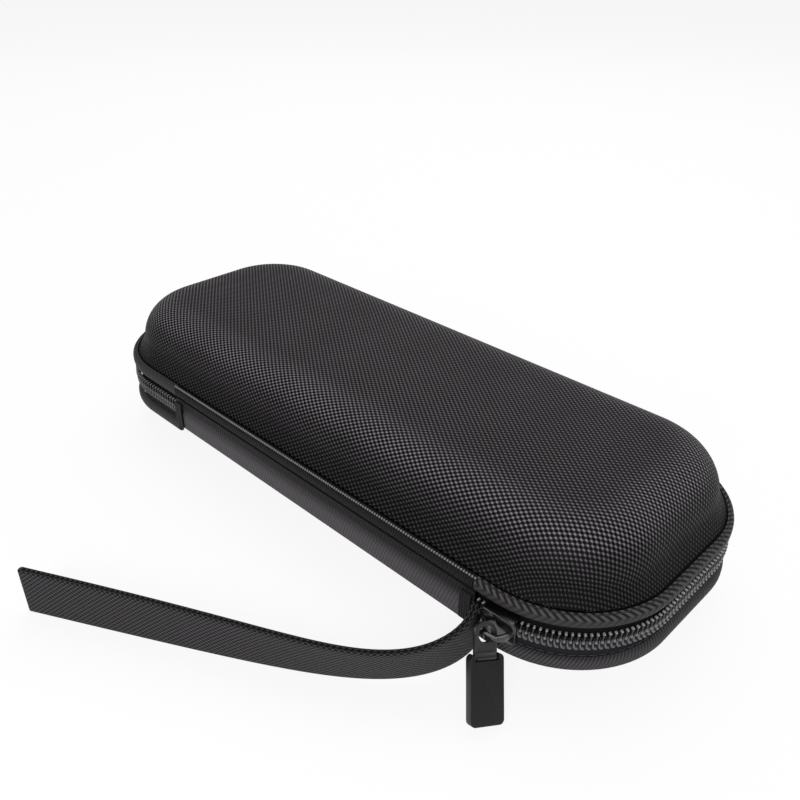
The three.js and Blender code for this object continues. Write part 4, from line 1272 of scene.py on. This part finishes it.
class CASE_OT_pen_loops(bpy.types.Operator):
    """Make the elastic band with its two pen loops"""
    bl_idname = "case.pen_loops"
    bl_label = "Pen loops"

    def execute(self, context):
        sizes = context.scene.case_sizes
        half = Half(sizes, "base")
        foot = half.level(half.pocket - BAND_OFF_POCKET - sizes.clearance)
        path = self.path(foot)
        lip, far = BAND_LIP, BAND_WIDTH - BAND_LIP
        section = ((0, -LIP_SHARE), (lip, -1), (far, -1), (BAND_WIDTH, -LIP_SHARE),
                   (BAND_WIDTH, LIP_SHARE), (far, 1), (lip, 1), (0, LIP_SHARE))
        rings = []
        for index, (y, z) in enumerate(path):
            before, after = neighbours(path, index)
            along = Vector((after[0] - before[0], after[1] - before[1])).normalized()
            normal = Vector((-along.y, along.x)) * BAND_THICKNESS / 2
            rings.append([
                Vector((BAND_PLACE + shift, y + sign * normal.x, z + sign * normal.y))
                for shift, sign in section])
        runs = running_lengths(path)
        across = running_lengths(rings[0], closed=True)
        piece = skin("pen_loop_elastic", rings, lambda i, j: (runs[i], across[j]), smooth=45)
        publish(piece, elastic_cloth("loop_elastic", colours().elastic, LOOP_RIB),
                "base", "elastic", "pen_loop_band")
        return {"FINISHED"}

    def path(self, foot):
        """The band's middle line, across the case: flat, and up over each pen."""
        low = foot + BAND_THICKNESS / 2
        radius = PEN_RADIUS + BAND_THICKNESS / 2
        points = [(-BAND_END, low), (-BAND_FLAT, low)]
        for centre in (-PEN_PLACE, PEN_PLACE):
            left, right = centre - radius - LOOP_BEND, centre + radius + LOOP_BEND
            points += [
                (left, low),
                *arc(left, low + LOOP_BEND, LOOP_BEND, -90, -LIFT_ANGLE, BEND_STEPS),
                *arc(centre, foot + PEN_RADIUS, radius, 180, 0, LOOP_STEPS),
                *arc(right, low + LOOP_BEND, LOOP_BEND, 180 + LIFT_ANGLE, 270, BEND_STEPS),
                (right, low)]
        points += [(BAND_FLAT, low), (BAND_END, low)]
        return [point for index, point in enumerate(points)
                if index == 0 or math.dist(point, points[index - 1]) > LEAST_STEP]


def arc(cx, cy, radius, start, end, steps):
    """Points on an arc between two angles in degrees."""
    return [(cx + radius * math.cos(angle), cy + radius * math.sin(angle))
            for angle in map(math.radians, evenly(start, end, steps))]


SAME_POINT = 0.01 * MM
FLAT_ANGLE, EDGE_ANGLE = 2, 35
BEVEL_STEPS = 3
SLIDER_EDGE, HEAD_EDGE, TAB_EDGE = in_mm(0.28, 0.2, 0.45)


def bevelled_copy(name, node, width):
    """A copy of a CAD node with its edges rounded."""
    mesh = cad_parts[node].data.copy()
    mesh.name = name
    shape = bmesh.new()
    shape.from_mesh(mesh)
    bmesh.ops.remove_doubles(shape, verts=shape.verts, dist=SAME_POINT)
    bmesh.ops.dissolve_limit(
        shape, angle_limit=math.radians(FLAT_ANGLE), verts=shape.verts, edges=shape.edges)
    shape.to_mesh(mesh)
    shape.free()
    piece = place_object(name, mesh)
    bevel = piece.modifiers.new("Rounding", "BEVEL")
    bevel.width, bevel.segments, bevel.limit_method = width, BEVEL_STEPS, "ANGLE"
    bevel.angle_limit = math.radians(EDGE_ANGLE)
    rounded = plain_mesh(piece)
    piece.modifiers.remove(bevel)
    piece.data = rounded
    soften(rounded, EDGE_ANGLE)
    return piece


class CASE_OT_slider(bpy.types.Operator):
    """Make the zip slider, its crown and the pull"""
    bl_idname = "case.slider"
    bl_label = "Slider and pull"

    def execute(self, context):
        metal = colours().metal
        for node, body, slot, finish, width in (
                ("slider_body", "slider", "zip_metal",
                 painted_metal("slider_metal", metal, roughness=0.15), SLIDER_EDGE),
                ("pull_head", "pull", "zip_metal",
                 painted_metal("pull_metal", scaled(metal, 4), roughness=0.22), HEAD_EDGE),
                ("pull_tab", "pull", "soft_tab",
                 moulded("pull_soft", colours().tab, roughness=0.42), TAB_EDGE)):
            publish(bevelled_copy(node + "_rounded", node, width), finish, body, slot, node)
        return {"FINISHED"}


STRAP_STEPS, STRAP_FOLD_STEPS, STRAP_ROWS = 90, 8, 8
STRAP_FROM_ZIP, STRAP_OFF_CASE = in_mm(1.2, 0.5)
STRAP_HEADING, STRAP_CURL, CURL_LENGTH = 208.6, 60, 14.2 * MM
SEAM_RISE, SETTLE_LENGTH = in_mm(6.5, 17.4)
LEAN, LEAN_PLACE, STRAP_EDGE = in_mm(4.75, 19.7, 0.3)
FACE_SHARE = 0.5


class CASE_OT_strap(bpy.types.Operator):
    """Make the wrist strap, one webbing band folded into a loop"""
    bl_idname = "case.strap"
    bl_label = "Wrist strap"

    def execute(self, context):
        sizes = context.scene.case_sizes
        line = strap_line(sizes)
        offset = (sizes.webbing + sizes.strap_layer_gap) / 2
        places = [strap_side(place, QUARTER_TURN, offset, 1) for place in line]
        for turned in evenly(0, math.pi, STRAP_FOLD_STEPS)[1:-1]:
            places.append(strap_side(line[-1], QUARTER_TURN - turned, offset, math.cos(turned)))
        places += [strap_side(place, -QUARTER_TURN, offset, -1) for place in reversed(line)]
        rings = [strap_ring(sizes, place) for place in places]
        runs = running_lengths([ring[0] for ring in rings])
        across = running_lengths(rings[0], closed=True)
        piece = skin("wrist_strap_webbing", rings, lambda i, j: (runs[i], across[j]), smooth=50)
        cloth = webbing_cloth(
            "strap_webbing", colours().webbing, sizes.strap_width, sizes.webbing)
        assign(dress(piece, cloth), "webbing", "wrist_strap")
        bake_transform(piece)
        return {"FINISHED"}


def strap_heading(run):
    """The strap's heading on plan: square off the seam, then curling away."""
    return math.radians(STRAP_HEADING + STRAP_CURL * math.exp(-run / CURL_LENGTH))


def strap_line(sizes):
    """The strap's middle line on plan, walked in equal steps."""
    x = sizes.zip_start + STRAP_FROM_ZIP
    y = -sizes.width / 2 - STRAP_OFF_CASE
    step = sizes.strap_length / STRAP_STEPS
    places = []
    for run in evenly(0, sizes.strap_length, STRAP_STEPS):
        places.append({"x": x, "y": y, "run": run, "heading": strap_heading(run)})
        onward = strap_heading(run + step / 2)
        x += math.cos(onward) * step
        y += math.sin(onward) * step
    return places


def strap_side(place, turn, offset, facing):
    """A place on one of the strap's layers, off its middle line."""
    angle = place["heading"] + turn
    side = Vector((math.cos(angle), math.sin(angle)))
    return {**place, "x": place["x"] + side.x * offset, "y": place["y"] + side.y * offset,
            "side": side, "facing": facing}


def strap_ring(sizes, place):
    """The webbing's section: a flat band on its edge, with its upper edge leaning outwards."""
    run = place["run"]
    low = sizes.clearance + SEAM_RISE * math.exp(-run / SETTLE_LENGTH)
    reach = run / LEAN_PLACE
    lean = LEAN * reach * math.exp(1 - reach)
    height = math.sqrt(sizes.strap_width ** 2 - lean ** 2)
    edge = STRAP_EDGE / height
    middle_shares = evenly(0, 1, STRAP_ROWS)[1:-1]
    outer_shares = [(-FACE_SHARE, 0), (FACE_SHARE, 0), (1, edge),
                    *[(1, share) for share in middle_shares], (1, 1 - edge)]
    turned_shares = [(-across, 1 - share) for across, share in outer_shares]
    ring = []
    for across, share in [turned_shares[-1], *outer_shares, *turned_shares[:-1]]:
        out = across * sizes.webbing / 2 + lean * share * place["facing"]
        ring.append(Vector((
            place["x"] + place["side"].x * out, place["y"] + place["side"].y * out,
            low + height * share)))
    return ring


SEAM_STEP, THREAD = in_mm(1, 0.36)
LID_SEAM_INSET, LID_SEAM_RISE = in_mm(1.3, 7.55)
BEAD_INSET, BEAD_RISE, BEAD = in_mm(0.85, 7.75, 0.7)
LOW_SEAM_INSET, LOW_SEAM_RISE = in_mm(2.2, -5.7)
STITCH_SHARE, BEAD_SHARE = 0.84, 0.62
SEAM_GAIN, BEAD_GAIN, LOW_SEAM_GAIN = 0.5, 0.5, 0.9


class CASE_OT_stitching(bpy.types.Operator):
    """Sew the seams and lay the beads along the spine's edge"""
    bl_idname = "case.stitching"
    bl_label = "Stitching"

    def execute(self, context):
        sizes, outline = plan_of(context)
        binding, thread = colours().binding, colours().thread
        stitch = sizes.stitch_pitch, STITCH_SHARE, THREAD
        bead = sizes.bead_pitch, BEAD_SHARE, BEAD
        for name, body, start, end, inset, rise, form, colour in (
                ("lid_binding_stitches", "lid", outline.spine_end,
                 outline.whole + outline.spine_start, LID_SEAM_INSET, LID_SEAM_RISE,
                 stitch, scaled(binding, SEAM_GAIN)),
                # The spine's edge beads are light thread and partly a painted highlight: their light
                # colour also stands in for the light caught on the ridge along the spine's top edge.
                ("spine_edge_beads", "lid", outline.spine_start, outline.spine_end,
                 BEAD_INSET, BEAD_RISE, bead, scaled(thread, BEAD_GAIN)),
                ("base_tape_stitches", "base", outline.zip_start, outline.zip_end,
                 LOW_SEAM_INSET, LOW_SEAM_RISE, stitch, scaled(binding, LOW_SEAM_GAIN))):
            line = outline.line(start, end, inset, outline.coil + rise, SEAM_STEP)
            row, material = stitches(name, line, *form, colour)
            publish(row, material, body, "binding")
        return {"FINISHED"}


FLOOR_REACH = 6.0
NEAREST_SEEN, SENSOR_WIDTH = 0.01, 36.0
TABLE_TONE, SEEN_TONE, SEEN_SHARE = (0.5, 0.5, 0.5), (0.95, 0.95, 0.95), 0.88
WHITE = (1, 1, 1, 1)
LAMPS = {
    "key": {"size": 0.9, "place": (-0.25, 0.35, 0.75), "target": (0, 0, 0.03)},
    "fill": {"size": 0.25, "place": (0.38, -0.6, 0.46), "target": (0, 0, 0.02)},
    "rim": {"size": 0.6, "place": (0.5, 0.45, 0.35), "target": (0, 0, 0.03)},
}


class CASE_OT_stage(bpy.types.Operator):
    """Set the floor, the lamps and the camera"""
    bl_idname = "case.stage"
    bl_label = "Stage"

    def execute(self, context):
        settings = context.scene.case_stage
        self.floor()
        self.world(context, settings)
        self.lamps(settings)
        self.camera(context, settings)
        return {"FINISHED"}

    def floor(self):
        """White where it is seen, and pale paper under the light."""
        mesh = bpy.data.meshes.new("floor")
        corners = ((-1, -1), (1, -1), (1, 1), (-1, 1))
        mesh.from_pydata(
            [(x * FLOOR_REACH, y * FLOOR_REACH, 0) for x, y in corners], [], [(0, 1, 2, 3)])
        finish = Finish("floor_paper")
        camera, glossy, through = finish.node(
            "ShaderNodeLightPath",
            output=("Is Camera Ray", "Is Glossy Ray", "Is Transmission Ray"))
        seen = finish.larger(camera, finish.larger(glossy, through))
        paper = finish.node("ShaderNodeBsdfDiffuse", inputs={
            "Color": finish.mix(seen, TABLE_TONE, SEEN_TONE)})
        glow = finish.node("ShaderNodeEmission", inputs={"Color": WHITE, "Strength": 1.0})
        both = finish.node(
            "ShaderNodeMixShader", inputs={0: seen * SEEN_SHARE, 1: paper, 2: glow})
        finish.node("ShaderNodeOutputMaterial", inputs={"Surface": both})
        dress(place_object("floor", mesh), finish.material)

    def world(self, context, settings):
        """White where it is seen, and a dim light from all round elsewhere."""
        world = bpy.data.worlds.new("studio")
        context.scene.world = world
        world.use_nodes = True
        world.node_tree.nodes.clear()
        tree = Tree(world.node_tree)
        seen = tree.larger(*tree.node(
            "ShaderNodeLightPath", output=("Is Camera Ray", "Is Transmission Ray")))
        light = tree.node("ShaderNodeBackground", inputs={
            "Color": WHITE, "Strength": seen + (1 - seen) * settings.ambient})
        tree.node("ShaderNodeOutputWorld", inputs={"Surface": light})
        context.scene.view_settings.view_transform = "Standard"

    def lamps(self, settings):
        for name, form in LAMPS.items():
            lamp = bpy.data.lights.new(name + "_lamp", "AREA")
            lamp.energy, lamp.size = getattr(settings, name), form["size"]
            aim = Vector(form["target"]) - Vector(form["place"])
            turn = aim.to_track_quat("-Z", "Y").to_matrix().to_4x4()
            holder = place_object(name + "_lamp", lamp)
            holder.matrix_world = Matrix.Translation(form["place"]) @ turn

    def camera(self, context, settings):
        data = bpy.data.cameras.new("camera")
        data.lens, data.sensor_width = settings.lens, SENSOR_WIDTH
        data.clip_start = NEAREST_SEEN
        camera = place_object("camera", data)
        yaw, pitch, roll = settings.heading, settings.pitch, settings.roll
        ahead = Vector((-math.sin(yaw) * math.cos(pitch), math.cos(yaw) * math.cos(pitch),
                        -math.sin(pitch)))
        right = ahead.cross(Vector((0, 0, 1))).normalized()
        up = right.cross(ahead)
        right, up = (right * math.cos(roll) + up * math.sin(roll),
                     up * math.cos(roll) - right * math.sin(roll))
        turn = Matrix((right, up, -ahead)).transposed()
        camera.matrix_world = Matrix.Translation(settings.camera_place) @ turn.to_4x4()
        context.scene.camera = camera


STEPS = (
    CASE_OT_stage, CASE_OT_shells, CASE_OT_linings, CASE_OT_bindings, CASE_OT_zip_tapes,
    CASE_OT_zip_chain, CASE_OT_spine, CASE_OT_pockets, CASE_OT_gel_packs, CASE_OT_pen_loops,
    CASE_OT_slider, CASE_OT_strap, CASE_OT_stitching)


class CASE_PT_panel(bpy.types.Panel):
    """Lists the steps, sizes and colours of the case"""
    bl_label = "Cooling case"
    bl_idname = "CASE_PT_panel"
    bl_space_type = "VIEW_3D"
    bl_region_type = "UI"
    bl_category = "Case"

    def draw(self, context):
        for step in STEPS:
            self.layout.operator(step.bl_idname)
        for group in (context.scene.case_sizes, context.scene.case_colours):
            for name in group.bl_rna.properties.keys():
                if name not in ("rna_type", "name"):
                    self.layout.prop(group, name)


GROUPS = {
    "case_sizes": CaseSizes,
    "case_colours": CaseColours,
    "case_stage": StageSettings,
}


def register():
    for made in (*GROUPS.values(), *STEPS, CASE_PT_panel):
        bpy.utils.register_class(made)
    for name, group in GROUPS.items():
        setattr(bpy.types.Scene, name, bpy.props.PointerProperty(type=group))


def unregister():
    for name in GROUPS:
        delattr(bpy.types.Scene, name)
    for made in (CASE_PT_panel, *reversed(STEPS), *GROUPS.values()):
        bpy.utils.unregister_class(made)


def main():
    register()
    for step in STEPS:
        family, action = step.bl_idname.split(".")
        getattr(getattr(bpy.ops, family), action)()


if __name__ == "__main__":
    main()
